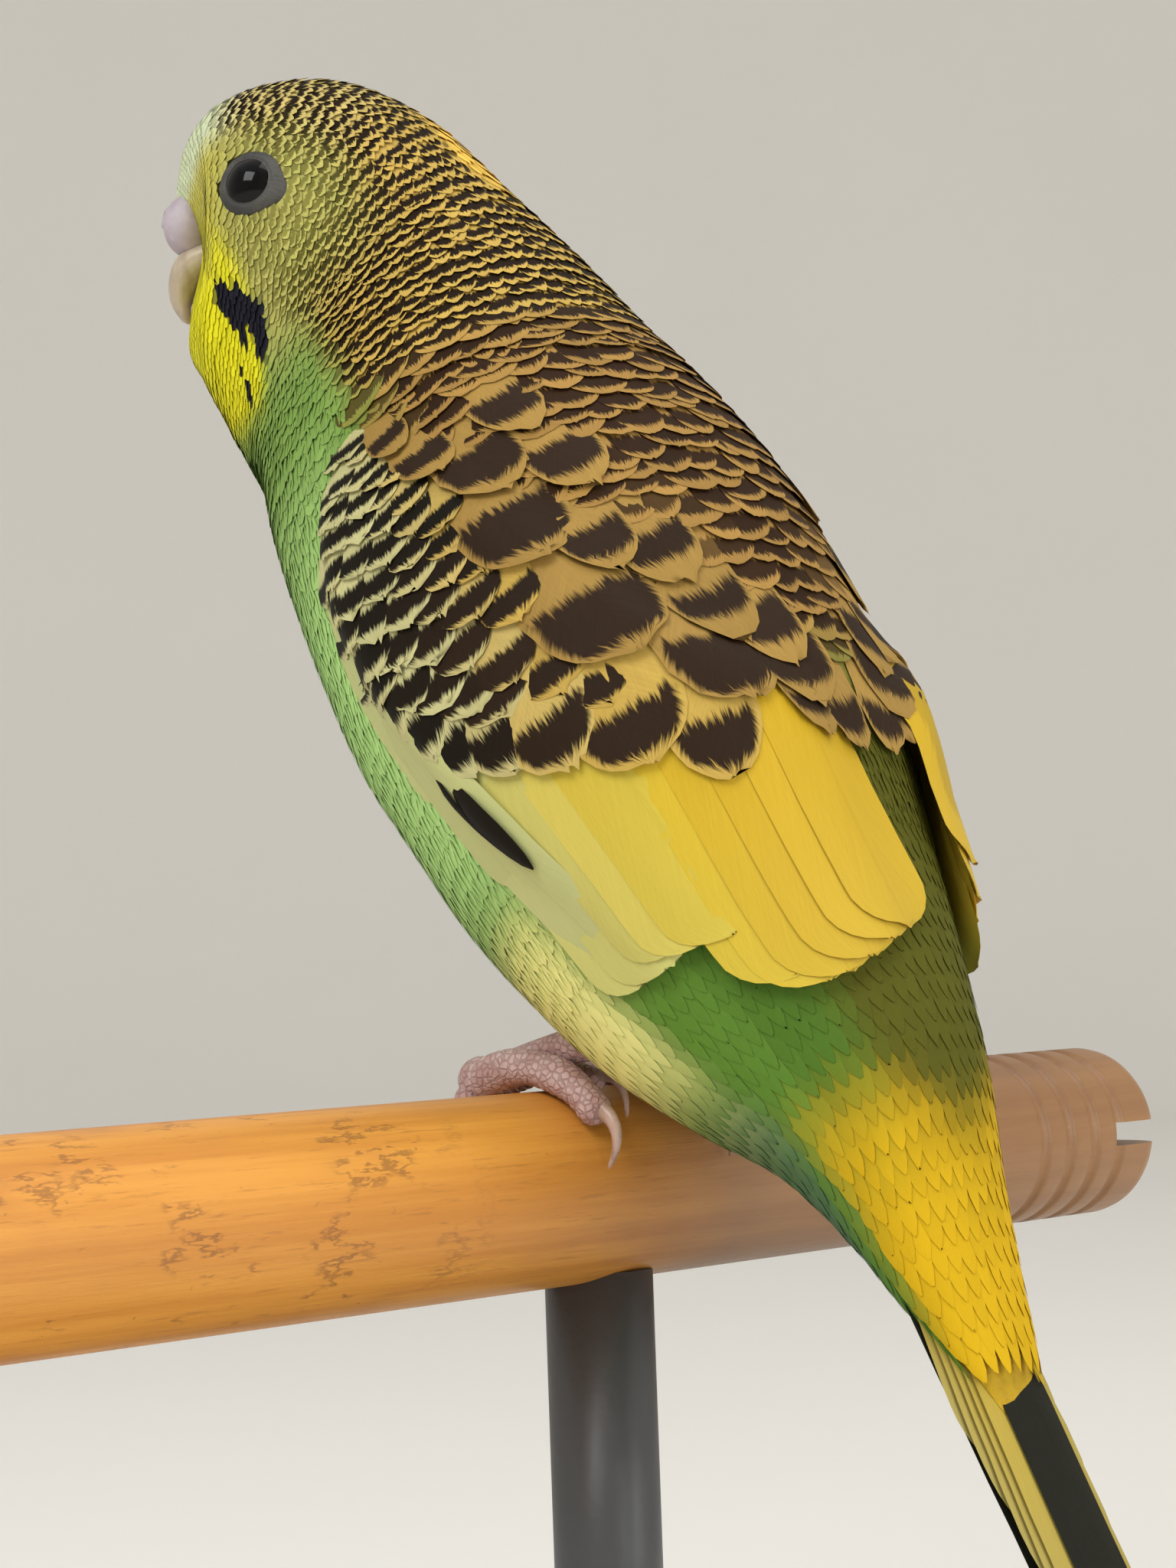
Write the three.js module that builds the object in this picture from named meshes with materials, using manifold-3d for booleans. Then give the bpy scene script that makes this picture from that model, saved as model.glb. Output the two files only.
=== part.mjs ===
// A life-size budgerigar gripping a cut length of dowel perch on a plain display stand.
// Millimetres, +Z up. The bird faces -Y, its left side is +X, and the perch runs along X.
// The origin is the centre of the underside of the stand's base. Inside the group, heights
// are measured from the axis of the perch.

import * as THREE from 'three';
import { mergeVertices } from 'three/addons/utils/BufferGeometryUtils.js';
import Module from 'manifold-3d';

const wasm = await Module();
wasm.setup();

// Driving dimensions
const GAP = 0.3;
const PERCH_HEIGHT = 68;
const PERCH = { radius: 8, left: 74, right: -73, endRound: 3.5, chamfer: 0.6, groove: 0.45 };
const PERCH_SLOT = { wide: 2.2, deep: 8 };
const GROOVES = { at: [8, 12, 16, 20], half: 0.9 };
const STAND = { baseRadius: 58, baseThickness: 8, baseChamfer: 1.2, rodRadius: 4.5 };
const HEAD = { turn: 33, turnAxis: -24.4, centre: [-31.8, 86.0] };
const NECK_CUT = -4;
const TORSO_CUT = 13.5;
const TAIL_CUT = 84;

// Stations down the body from the face to the tail, s in mm along it: the point of the
// back and of the front in the plane of symmetry, half the width, how far the cheeks lie
// behind the middle, and the share of the head's turn to the left that the station takes.
const BODY = [
  { s: -34, back: [-41.1, 88.3], front: [-38.9, 80.0], half: 2.6, cheek: 1.5, turn: 1 },
  { s: -31, back: [-40.2, 91.6], front: [-39.9, 75.8], half: 6.6, cheek: 3.3, turn: 1 },
  { s: -26, back: [-37.4, 95.0], front: [-38.4, 72.2], half: 9.8, cheek: 2.2, turn: 1 },
  { s: -20, back: [-31.8, 97.1], front: [-36.8, 68.2], half: 11.8, cheek: 1.1, turn: 1 },
  { s: -13, back: [-24.4, 96.7], front: [-35.4, 64.0], half: 13.2, cheek: 0.3, turn: 0.92 },
  { s: -6, back: [-16.6, 92.3], front: [-33.6, 61.0], half: 14.5, cheek: 0, turn: 0.7 },
  { s: 0, back: [-10.1, 85.2], front: [-31.9, 59.4], half: 15.4, cheek: 0, turn: 0.42 },
  { s: 5, back: [-3.8, 78.6], front: [-29.9, 57.8], half: 16.6, cheek: 0, turn: 0.2 },
  { s: 12, back: [1.4, 72.7], front: [-26.8, 52.4], half: 18.2, cheek: 0, turn: 0.05 },
  { s: 20, back: [6.8, 66.8], front: [-22.8, 45.4], half: 19.7, cheek: 0, turn: 0 },
  { s: 28, back: [12.3, 60.8], front: [-19.0, 38.4], half: 20.7, cheek: 0, turn: 0 },
  { s: 36, back: [17.0, 54.4], front: [-14.8, 31.4], half: 21.0, cheek: 0, turn: 0 },
  { s: 44, back: [21.3, 47.6], front: [-9.7, 25.2], half: 20.5, cheek: 0, turn: 0 },
  { s: 52, back: [25.6, 40.9], front: [-4.6, 18.9], half: 19.5, cheek: 0, turn: 0 },
  { s: 60, back: [29.0, 33.4], front: [1.4, 13.4], half: 18.0, cheek: 0, turn: 0 },
  { s: 68, back: [31.9, 25.6], front: [7.9, 8.2], half: 15.6, cheek: 0, turn: 0 },
  { s: 76, back: [35.0, 18.0], front: [15.5, 4.0], half: 12.4, cheek: 0, turn: 0 },
  { s: 84, back: [37.6, 10.2], front: [23.6, 0.4], half: 9.4, cheek: 0, turn: 0 },
  { s: 92, back: [39.0, 1.4], front: [30.6, -5.2], half: 7.3, cheek: 0, turn: 0 },
  { s: 98, back: [40.4, -5.4], front: [35.0, -9.6], half: 6.0, cheek: 0, turn: 0 },
  { s: 103, back: [42.0, -11.4], front: [39.2, -13.2], half: 4.4, cheek: 0, turn: 0 },
  { s: 107, back: [43.2, -15.6], front: [42.0, -16.4], half: 2.8, cheek: 0, turn: 0 },
];
const ROUNDNESS = 2.15;
const BODY_SIDES = 24;
const BODY_SLICES = 34;

// The wing's core on the body, s in mm and angles in degrees round from the middle of the back
const WING_CORE = [
  { s: 14.5, top: 66, low: 84, depth: 1.2 },
  { s: 20, top: 54, low: 96, depth: 1.9 },
  { s: 28, top: 38, low: 102, depth: 2.4 },
  { s: 38, top: 26, low: 102, depth: 2.4 },
  { s: 48, top: 9, low: 98, depth: 2.2 },
  { s: 56, top: 2, low: 93, depth: 1.6 },
  { s: 62, top: 2, low: 89, depth: 0.9 },
];
const CORE_RISE = 0.15;
const POCKET_REACH = 3;
// The tips of the clipped flight feathers, from the outermost primary to the innermost tertial
const FLIGHT_TIPS = [
  { s: 69.5, angle: 87 },
  { s: 67.8, angle: 74 },
  { s: 69.0, angle: 63 },
  { s: 74.0, angle: 49 },
  { s: 76.8, angle: 38 },
  { s: 76.4, angle: 22 },
  { s: 74.6, angle: 7 },
];
const ROOT_LIFT = -0.5;
const FLIGHT = { count: 13, rootS: 45, rootRun: 3, rootLow: 93, rootHigh: 20, width: 3.7, thickness: 0.75 };
const FLIGHT_LIFT = [0.75, 1.6];
const FLIGHT_TILT = 4;
// Rows of wing coverts: where the row's tips lie at its lower end, its count and feather size
const COVERTS = [
  { tip: 48.5, low: 88, high: 28, count: 7, length: 9.5, width: 6.0 },
  { tip: 41.5, low: 92, high: 46, count: 5, length: 8.5, width: 6.2 },
  { tip: 35, low: 92, high: 50, count: 4, length: 8, width: 6.6 },
  { tip: 28.5, low: 89, high: 56, count: 4, length: 7.5, width: 6.0 },
];
const COVERT = { slant: 0.13, lift: 0.75, thickness: 0.8, tilt: 3 };
const SCAPULARS = [
  { s: 32.0, angle: 52 },
  { s: 41.5, angle: 40 },
  { s: 50.5, angle: 38 },
  { s: 57.0, angle: 26 },
  { s: 57.0, angle: 10 },
];
const SCAPULAR = { length: 12, width: 7.6, lift: 1.15, thickness: 0.9, fan: 11 };
// The right wing hangs a little lower than the left and stands off the rump at its tip
const RIGHT_DROP = { shoulder: 2, core: 14, tip: 32, lift: 2.2, shorter: 5 };

// The tail: its axis below the rump, and each pair of feathers from the middle pair out
const TAIL = { root: [34.3, -2.3], slope: 62.5, sunk: 10, spacing: 1.05, stack: 0.5, top: 1.5, roof: 0.06 };
const TAIL_VANE = { first: 0.7, thickness: 0.75, apart: 0.2 };
const TAIL_COVERT = { sunk: 6, thickness: 0.8, rise: 0.7, below: 3.1, droop: 0.6 };
const TAIL_PAIRS = [
  { tip: 59.5, width: 4.6 },
  { tip: 47, width: 4.8 },
  { tip: 38, width: 4.8 },
  { tip: 30, width: 4.6 },
  { tip: 23.5, width: 4.4 },
  { tip: 18, width: 4.0 },
];
// Feathers over the tail's base, above it (1) and below it (-1)
const TAIL_COVERTS = [
  { face: 1, tip: 9, width: 5.4, spread: 2.6 },
  { face: 1, tip: 4, width: 5.0, spread: 4.8 },
  { face: -1, tip: 7, width: 4.6, spread: 2.2 },
];

// Head details, in mm forward and up from the head's centre, and out to its side
const EYE = { s: -16.5, angle: 76, ball: 3.0, opening: 1.85, bulge: 0.3 };
const LID = { radius: 0.5, flat: 0.8, out: 0.1 };
const CERE = { forward: 8.1, up: -0.5, size: [3.5, 2.4, 2.8], nostrilOut: 1.55, nostril: 0.55 };
const BILL_UPPER = [
  { at: [5.0, -3.2], wide: 3.0, deep: 2.0 },
  { at: [8.1, -3.8], wide: 3.1, deep: 2.1 },
  { at: [9.3, -5.9], wide: 2.7, deep: 1.6 },
  { at: [9.2, -8.0], wide: 1.8, deep: 1.1 },
  { at: [8.3, -9.9], wide: 0.7, deep: 0.5 },
];
const BILL_LOWER = [
  { at: [4.2, -8.4], wide: 2.6, deep: 1.2 },
  { at: [6.6, -8.6], wide: 2.3, deep: 1.1 },
  { at: [8.3, -8.3], wide: 1.4, deep: 0.7 },
];

// Feet. Angles are degrees round the perch from the rear (+Y) over the top.
const FOOT = { out: 6.2, hub: 127, hubRise: 0.8, hubRadius: 2.0, clearance: 0.35 };
const TARSUS = { heel: [5.4, 7.5, 12.5], radius: 1.4 };
const TOES = [
  { name: '1', end: 64, claw: 40, from: -1.0, to: -3.0, thick: 1.1 },
  { name: '2', end: 186, claw: 216, from: -0.7, to: -1.8, thick: 1.1 },
  { name: '3', end: 206, claw: 240, from: 0.6, to: 1.2, thick: 1.2 },
  { name: '4', end: 37, claw: 11, from: 1.0, to: 1.1, thick: 1.4 },
];

// The claws: half their thickness at the tip, arch, splay, and degrees sunk in the toe
const CLAW = { tip: 0.22, arch: 1.2, splay: 0.12, sunk: 2 };

const COLOURS = {
  head: 0xa7a13c, neck: 0x9a9a3d, torso: 0x6f9a3e, tail: 0xc9b23a, wing: 0xc8a92c,
  eye: 0x0c0a0c, lid: 0x6f6d70, cere: 0xb9aec6, bill: 0xb5a27e, skin: 0xc79a97,
  claw: 0xcfc3bd, perch: 0xb9803f, stand: 0x3b3d40,
};

const radians = THREE.MathUtils.degToRad;
const X_AXIS = new THREE.Vector3(1, 0, 0);
const Z_AXIS = new THREE.Vector3(0, 0, 1);

// Rings of points, one after another, closed at each end
function skinRings(rings) {
  const count = rings[0].length;
  const points = rings.flat();
  const faces = [];
  for (let i = 0; i < rings.length - 1; i += 1) {
    for (let j = 0; j < count; j += 1) {
      const a = i * count + j;
      const b = i * count + (j + 1) % count;
      const mirrored = j >= count / 2;
      if (mirrored) faces.push([a, b, b + count], [a, b + count, a + count]);
      else faces.push([a, b, a + count], [b, b + count, a + count]);
    }
  }
  const cap = [];
  for (let low = 0, high = count - 1; high - low > 1; high -= 1) {
    cap.push([low, low + 1, high]);
    low += 1;
    if (high - low > 1) cap.push([low, high - 1, high]);
  }
  const end = (rings.length - 1) * count;
  for (const [a, b, c] of cap) faces.push([a, c, b], [end + a, end + b, end + c]);
  const geometry = new THREE.BufferGeometry().setFromPoints(points);
  geometry.setIndex(faces.flat());
  return geometry;
}

function toSolid(geometry) {
  const plain = geometry.index ? geometry.clone() : geometry;
  plain.deleteAttribute('normal');
  plain.deleteAttribute('uv');
  const merged = mergeVertices(plain, 1e-4);
  const triVerts = Uint32Array.from(merged.index.array);
  const build = () => new wasm.Manifold(new wasm.Mesh({
    numProp: 3,
    vertProperties: Float32Array.from(merged.attributes.position.array),
    triVerts,
  }));
  const solid = build();
  if (solid.volume() > 0) return solid;
  for (let i = 0; i < triVerts.length; i += 3) {
    [triVerts[i], triVerts[i + 1]] = [triVerts[i + 1], triVerts[i]];
  }
  return build();
}

function toGeometry(solid) {
  const mesh = solid.getMesh();
  const geometry = new THREE.BufferGeometry();
  geometry.setAttribute('position', new THREE.BufferAttribute(mesh.vertProperties, 3));
  geometry.setIndex(new THREE.BufferAttribute(mesh.triVerts, 1));
  geometry.computeVertexNormals();
  return geometry;
}

function largest(solid) {
  const pieces = solid.decompose();
  return pieces.reduce((best, piece) => (piece.volume() > best.volume() ? piece : best));
}

function join(solids) {
  return solids.reduce((whole, solid) => whole.add(solid));
}

// The body's surface
const bodyCurve = new THREE.CubicInterpolant(
  BODY.map((station) => station.s),
  BODY.flatMap(({ back, front, half, cheek, turn }) => [...back, ...front, half, cheek, turn]),
  7,
);

function turned(point, share) {
  const axis = new THREE.Vector3(0, HEAD.turnAxis, 0);
  return point.clone().sub(axis).applyAxisAngle(Z_AXIS, radians(HEAD.turn * share)).add(axis);
}

function rounded(value) {
  return Math.sign(value) * Math.abs(value) ** (2 / ROUNDNESS);
}

// A point of the body at s along it and an angle round it, lifted off its surface
function onBody(s, angle, lift = 0) {
  const [backY, backZ, frontY, frontZ, half, cheek, share] = bodyCurve.evaluate(s);
  const middle = new THREE.Vector3(0, (backY + frontY) / 2, (backZ + frontZ) / 2);
  const toBack = new THREE.Vector3(0, backY, backZ).sub(middle);
  const depth = toBack.length();
  const point = middle.addScaledVector(toBack, rounded(Math.cos(radians(angle))) * (1 + lift / depth));
  point.x = rounded(Math.sin(radians(angle))) * (half + lift);
  point.y += cheek * Math.sin(radians(angle)) ** 2;
  return turned(point, share);
}

// The directions on the body's surface: out of it, along it, and across
function bodyFrame(s, angle) {
  const step = 0.5;
  const along = onBody(s + step, angle).sub(onBody(s - step, angle)).normalize();
  const round = onBody(s, angle + step).sub(onBody(s, angle - step)).normalize();
  const out = new THREE.Vector3().crossVectors(round, along).normalize();
  return { along, out, across: new THREE.Vector3().crossVectors(out, along).normalize() };
}

function bodySolid() {
  const first = BODY[0].s;
  const last = BODY[BODY.length - 1].s;
  const rings = [];
  for (let i = 0; i <= BODY_SLICES; i += 1) {
    const s = first + (last - first) * (i / BODY_SLICES);
    const ring = [];
    for (let j = 0; j < BODY_SIDES; j += 1) ring.push(onBody(s, (j * 360) / BODY_SIDES));
    rings.push(ring);
  }
  return toSolid(skinRings(rings));
}

// Everything on one side of a section of the body, a little off it
function beyondSection(s, direction) {
  const [backY, backZ, frontY, frontZ, , , share] = bodyCurve.evaluate(s);
  const back = turned(new THREE.Vector3(0, backY, backZ), share);
  const front = turned(new THREE.Vector3(0, frontY, frontZ), share);
  const side = X_AXIS.clone().applyAxisAngle(Z_AXIS, radians(HEAD.turn * share));
  const normal = new THREE.Vector3().crossVectors(back.clone().sub(front), side).normalize();
  const next = onBody(s + 1, 0).sub(onBody(s, 0));
  if (normal.dot(next) < 0) normal.negate();
  normal.multiplyScalar(direction);
  const reach = 150;
  const box = new THREE.BoxGeometry(reach, reach, reach);
  box.translate(0, 0, reach / 2 - GAP / 2);
  box.applyQuaternion(new THREE.Quaternion().setFromUnitVectors(Z_AXIS, normal));
  const middle = back.add(front).multiplyScalar(0.5);
  box.translate(middle.x, middle.y, middle.z);
  return toSolid(box);
}

// A ring of a feather: thin at both edges and thickest at the shaft
function vaneRing(at, across, out, width, thickness) {
  return [
    at.clone().addScaledVector(across, width / 2),
    at.clone().addScaledVector(out, thickness / 2),
    at.clone().addScaledVector(across, -width / 2),
    at.clone().addScaledVector(out, -thickness / 2),
  ];
}

const COVERT_SHAPE = [[0, 0.65, 1], [0.62, 1, 1], [0.92, 0.72, 0.75], [1, 0.24, 0.45]];
const LONG_SHAPE = [[0, 0.6, 1], [0.4, 0.92, 1], [0.78, 1, 0.85], [0.96, 0.74, 0.6], [1, 0.2, 0.4]];

// A feather on the body from its root to its tip, rising out of the surface
function bodyVane({ root, tip, width, thickness, shape = COVERT_SHAPE, tilt = 0, rise = 1 }) {
  const place = (t) => ({
    s: THREE.MathUtils.lerp(root.s, tip.s, t),
    angle: THREE.MathUtils.lerp(root.angle, tip.angle, t),
  });
  const ahead = (t) => place(t + 0.05);
  const rings = shape.map(([t, wide, thick]) => {
    const { s, angle } = place(t);
    const { out, across } = bodyFrame(s, angle);
    const slope = onBody(ahead(t).s, ahead(t).angle).sub(onBody(s, angle)).normalize();
    const side = across.crossVectors(out, slope).normalize();
    side.applyAxisAngle(slope, radians(tilt));
    const upright = out.clone().applyAxisAngle(slope, radians(tilt));
    const lift = THREE.MathUtils.lerp(root.lift, tip.lift, Math.min(1, t / rise));
    const at = onBody(s, angle).addScaledVector(out, lift);
    return vaneRing(at, side, upright, width * wide, thickness * thick);
  });
  return toSolid(skinRings(rings));
}

function interpolate(stations, keys, at) {
  const curve = new THREE.CubicInterpolant(
    stations.map((station, index) => (at === undefined ? index : station.s)),
    stations.flatMap((station) => keys.map((key) => station[key])),
    keys.length,
  );
  return (t) => Array.from(curve.evaluate(t));
}

const coreCurve = interpolate(WING_CORE, ['top', 'low', 'depth'], 's');
const flightCurve = interpolate(FLIGHT_TIPS, ['s', 'angle']);

// How many degrees lower the right wing lies at a place along the body
function droop(side, s) {
  if (side > 0) return 0;
  const { shoulder, core } = RIGHT_DROP;
  return THREE.MathUtils.mapLinear(s, WING_CORE[0].s, WING_CORE[WING_CORE.length - 1].s, shoulder, core);
}

// The share of its full depth that the core has across it, thinner at both edges
function crown(u, edge) {
  return Math.sin(Math.PI * THREE.MathUtils.clamp(u, edge, 1 - edge)) ** 0.4;
}

// The wing's core, or with a margin the pocket that it lies in
function wingPatch(side, margin) {
  const first = WING_CORE[0].s - margin;
  const last = WING_CORE[WING_CORE.length - 1].s + margin;
  const slices = 7;
  const columns = 5;
  const outer = margin > 0 ? POCKET_REACH : CORE_RISE;
  const rings = [];
  for (let i = 0; i <= slices; i += 1) {
    const s = first + (last - first) * (i / slices);
    const inside = THREE.MathUtils.clamp(s, WING_CORE[0].s, WING_CORE[WING_CORE.length - 1].s);
    const [top, low, depth] = coreCurve(inside);
    const half = bodyCurve.evaluate(s)[4];
    const more = THREE.MathUtils.radToDeg(margin / half);
    const from = top - more + droop(side, s);
    const to = low + more + droop(side, s);
    const ring = [];
    for (let j = 0; j <= columns; j += 1) {
      const u = j / columns;
      ring.push(onBody(s, side * THREE.MathUtils.lerp(from, to, u), outer * crown(u, 0.06)));
    }
    for (let j = columns; j >= 0; j -= 1) {
      const u = j / columns;
      const angle = side * THREE.MathUtils.lerp(from, to, u);
      ring.push(onBody(s, angle, -depth * crown(u, 0.1) - margin));
    }
    rings.push(ring);
  }
  return toSolid(skinRings(rings));
}

function covertRows(side) {
  const vanes = [];
  for (const row of COVERTS) {
    for (let i = 0; i < row.count; i += 1) {
      const angle = THREE.MathUtils.lerp(row.low, row.high, i / (row.count - 1));
      const s = row.tip + (row.low - angle) * COVERT.slant;
      const low = droop(side, s);
      vanes.push(bodyVane({
        root: { s: s - row.length, angle: side * (angle + low), lift: ROOT_LIFT },
        tip: { s, angle: side * (angle + low), lift: COVERT.lift },
        width: row.width,
        thickness: COVERT.thickness,
        tilt: side * COVERT.tilt,
      }));
    }
  }
  for (const { s, angle } of SCAPULARS) {
    const low = droop(side, s);
    vanes.push(bodyVane({
      root: { s: s - SCAPULAR.length, angle: side * (angle + low + SCAPULAR.fan), lift: ROOT_LIFT },
      tip: { s, angle: side * (angle + low), lift: SCAPULAR.lift },
      width: SCAPULAR.width,
      thickness: SCAPULAR.thickness,
    }));
  }
  return vanes;
}

function flightFeathers(side) {
  const vanes = [];
  for (let i = 0; i < FLIGHT.count; i += 1) {
    const u = i / (FLIGHT.count - 1);
    const [reach, angle] = flightCurve(u * (FLIGHT_TIPS.length - 1));
    const s = side > 0 ? reach : reach - RIGHT_DROP.shorter * u;
    const tipDrop = side > 0 ? 0 : RIGHT_DROP.tip * (0.35 + 0.65 * u);
    const lift = THREE.MathUtils.lerp(...FLIGHT_LIFT, u) + (side > 0 ? 0 : RIGHT_DROP.lift * u);
    const rootAngle = THREE.MathUtils.lerp(FLIGHT.rootLow, FLIGHT.rootHigh, u) + droop(side, FLIGHT.rootS);
    vanes.push(bodyVane({
      root: { s: FLIGHT.rootS + FLIGHT.rootRun * u, angle: side * rootAngle, lift: ROOT_LIFT },
      tip: { s, angle: side * (angle + tipDrop), lift },
      width: FLIGHT.width,
      thickness: FLIGHT.thickness,
      shape: LONG_SHAPE,
      tilt: side * FLIGHT_TILT,
      rise: 0.5,
    }));
  }
  return vanes;
}

function wingSolid(side) {
  return largest(join([wingPatch(side, 0), ...flightFeathers(side), ...covertRows(side)]));
}

// The tail
function tailPoint(reach, side, rise) {
  const slope = radians(TAIL.slope);
  const y = TAIL.root[0] + reach * Math.cos(slope) + rise * Math.sin(slope);
  const z = TAIL.root[1] - reach * Math.sin(slope) + rise * Math.cos(slope);
  return new THREE.Vector3(side, y, z);
}

function tailVane({ from, tip, width, thickness, side, spread, rise, droopTip = 0 }) {
  const slope = radians(TAIL.slope);
  const out = new THREE.Vector3(-side * TAIL.roof, Math.sin(slope), Math.cos(slope)).normalize();
  const across = X_AXIS.clone().addScaledVector(out, -X_AXIS.dot(out)).normalize();
  const rings = LONG_SHAPE.map(([t, wide, thick]) => {
    const reach = THREE.MathUtils.lerp(from, tip, t);
    const aside = side * THREE.MathUtils.lerp(spread * 0.4, spread, t);
    const at = tailPoint(reach, aside, rise - droopTip * t);
    return vaneRing(at, across, out, width * wide, thickness * thick);
  });
  return toSolid(skinRings(rings));
}

function tailSolid(core) {
  const vanes = [];
  TAIL_PAIRS.forEach(({ tip, width }, pair) => {
    for (const side of [1, -1]) {
      const { first, thickness, apart } = TAIL_VANE;
      const spread = first + TAIL.spacing * pair;
      const rise = TAIL.top - TAIL.stack * pair - (side > 0 ? apart : 0);
      vanes.push(tailVane({ from: -TAIL.sunk, tip, width, thickness, side, spread, rise }));
    }
  });
  const { sunk, thickness } = TAIL_COVERT;
  for (const { face, tip, width, spread } of TAIL_COVERTS) {
    for (const side of [1, -1]) {
      const rise = TAIL.top + (face > 0 ? TAIL_COVERT.rise : -TAIL_COVERT.below);
      const droopTip = face * TAIL_COVERT.droop;
      vanes.push(tailVane({ from: -sunk, tip, width, thickness, side, spread, rise, droopTip }));
    }
  }
  return largest(join([core, ...vanes]).subtract(beyondSection(TAIL_CUT, -1)));
}

// Round sections swept through stations, each with its own width and depth
function sweep(stations, sides, grow = 0) {
  const curve = new THREE.CatmullRomCurve3(stations.map((station) => station.at));
  const steps = (stations.length - 1) * 2;
  const rings = [];
  for (let i = 0; i <= steps; i += 1) {
    const t = i / steps;
    const place = t * (stations.length - 1);
    const index = Math.min(Math.floor(place), stations.length - 2);
    const mix = place - index;
    const wide = THREE.MathUtils.lerp(stations[index].wide, stations[index + 1].wide, mix) + grow;
    const deep = THREE.MathUtils.lerp(stations[index].deep, stations[index + 1].deep, mix) + grow;
    const along = curve.getTangent(t);
    const across = stations[0].across.clone();
    across.addScaledVector(along, -across.dot(along)).normalize();
    const up = new THREE.Vector3().crossVectors(along, across);
    const at = curve.getPoint(t);
    if (i === 0) at.addScaledVector(along, -grow);
    if (i === steps) at.addScaledVector(along, grow);
    const ring = [];
    for (let j = 0; j < sides; j += 1) {
      const angle = (j / sides) * Math.PI * 2;
      const point = at.clone().addScaledVector(across, Math.cos(angle) * wide);
      ring.push(point.addScaledVector(up, Math.sin(angle) * deep));
    }
    rings.push(ring);
  }
  return toSolid(skinRings(rings));
}

// A place on the head: mm forward, up, and to its left, from the head's centre
function onHead(forward, up, left = 0) {
  const point = new THREE.Vector3(left, HEAD.centre[0] - forward, HEAD.centre[1] + up);
  return turned(point, 1);
}

const headAcross = X_AXIS.clone().applyAxisAngle(Z_AXIS, radians(HEAD.turn));

function billSolid(stations, grow = 0) {
  const placed = stations.map(({ at, wide, deep }) => (
    { at: onHead(...at), wide, deep, across: headAcross }
  ));
  return sweep(placed, 12, grow);
}

function cereSolid(grow = 0) {
  const pad = new THREE.SphereGeometry(1, 14, 8);
  pad.scale(CERE.size[0] + grow, CERE.size[1] + grow, CERE.size[2] + grow);
  pad.rotateZ(radians(HEAD.turn));
  const middle = onHead(CERE.forward, CERE.up);
  pad.translate(middle.x, middle.y, middle.z);
  return toSolid(pad);
}

function nostril(side) {
  const hole = new THREE.CylinderGeometry(CERE.nostril, CERE.nostril, 3, 8);
  hole.rotateZ(side * 0.5);
  hole.rotateZ(radians(HEAD.turn));
  const mouth = onHead(CERE.forward + CERE.size[1] * 0.95, CERE.up + 0.5, side * CERE.nostrilOut);
  hole.translate(mouth.x, mouth.y, mouth.z);
  return toSolid(hole);
}

// The eye's centre and the way that it looks out of the head
function eyeFrame(side) {
  const { out } = bodyFrame(EYE.s, side * EYE.angle);
  if (out.dot(onBody(EYE.s, side * EYE.angle).sub(onHead(0, 0))) < 0) out.negate();
  const rim = onBody(EYE.s, side * EYE.angle);
  const sunk = Math.sqrt(EYE.ball ** 2 - EYE.opening ** 2) - EYE.bulge;
  return { out, rim, centre: rim.clone().addScaledVector(out, -sunk) };
}

function facing(geometry, out, at) {
  geometry.applyQuaternion(new THREE.Quaternion().setFromUnitVectors(new THREE.Vector3(0, 1, 0), out));
  geometry.translate(at.x, at.y, at.z);
  return toSolid(geometry);
}

function eyeSolid(side, grow = 0) {
  const { out, centre } = eyeFrame(side);
  return facing(new THREE.SphereGeometry(EYE.ball + grow, 14, 9), out, centre);
}

function lidSolid(side, grow = 0) {
  const { out, rim } = eyeFrame(side);
  const ring = new THREE.TorusGeometry(EYE.opening + LID.radius, LID.radius + grow, 6, 16);
  ring.rotateX(Math.PI / 2);
  ring.scale(1, LID.flat, 1);
  const whole = facing(ring, out, rim.clone().addScaledVector(out, LID.out));
  return grow > 0 ? whole : whole.subtract(eyeSolid(side, GAP));
}

// A place round the perch: out along it, degrees from the rear over the top, and off its axis
function onPerch(x, angle, radius) {
  return new THREE.Vector3(x, radius * Math.cos(radians(angle)), radius * Math.sin(radians(angle)));
}

function footHub(side) {
  const radius = PERCH.radius + FOOT.clearance + FOOT.hubRise + FOOT.hubRadius;
  return onPerch(side * FOOT.out, FOOT.hub, radius);
}

function toeStations(side, toe) {
  const stations = [];
  const steps = 4;
  for (let i = 0; i <= steps; i += 1) {
    const t = i / steps;
    const thick = THREE.MathUtils.lerp(toe.thick * 1.1, toe.thick * 0.9, t);
    const knuckle = i % 2 === 1 ? 0.93 : 1;
    const radius = PERCH.radius + FOOT.clearance + thick + FOOT.hubRise * (1 - t) ** 2;
    const x = side * (FOOT.out + THREE.MathUtils.lerp(toe.from, toe.to, t));
    stations.push({
      at: onPerch(x, THREE.MathUtils.lerp(FOOT.hub, toe.end, t), radius),
      wide: thick * knuckle,
      deep: thick * knuckle,
      across: X_AXIS,
    });
  }
  return stations;
}

function footSolid(side) {
  const toes = TOES.map((toe) => sweep(toeStations(side, toe), 6));
  const pad = new THREE.SphereGeometry(FOOT.hubRadius, 10, 6);
  const hub = footHub(side);
  pad.translate(hub.x, hub.y, hub.z);
  return largest(join([toSolid(pad), ...toes]));
}

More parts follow.
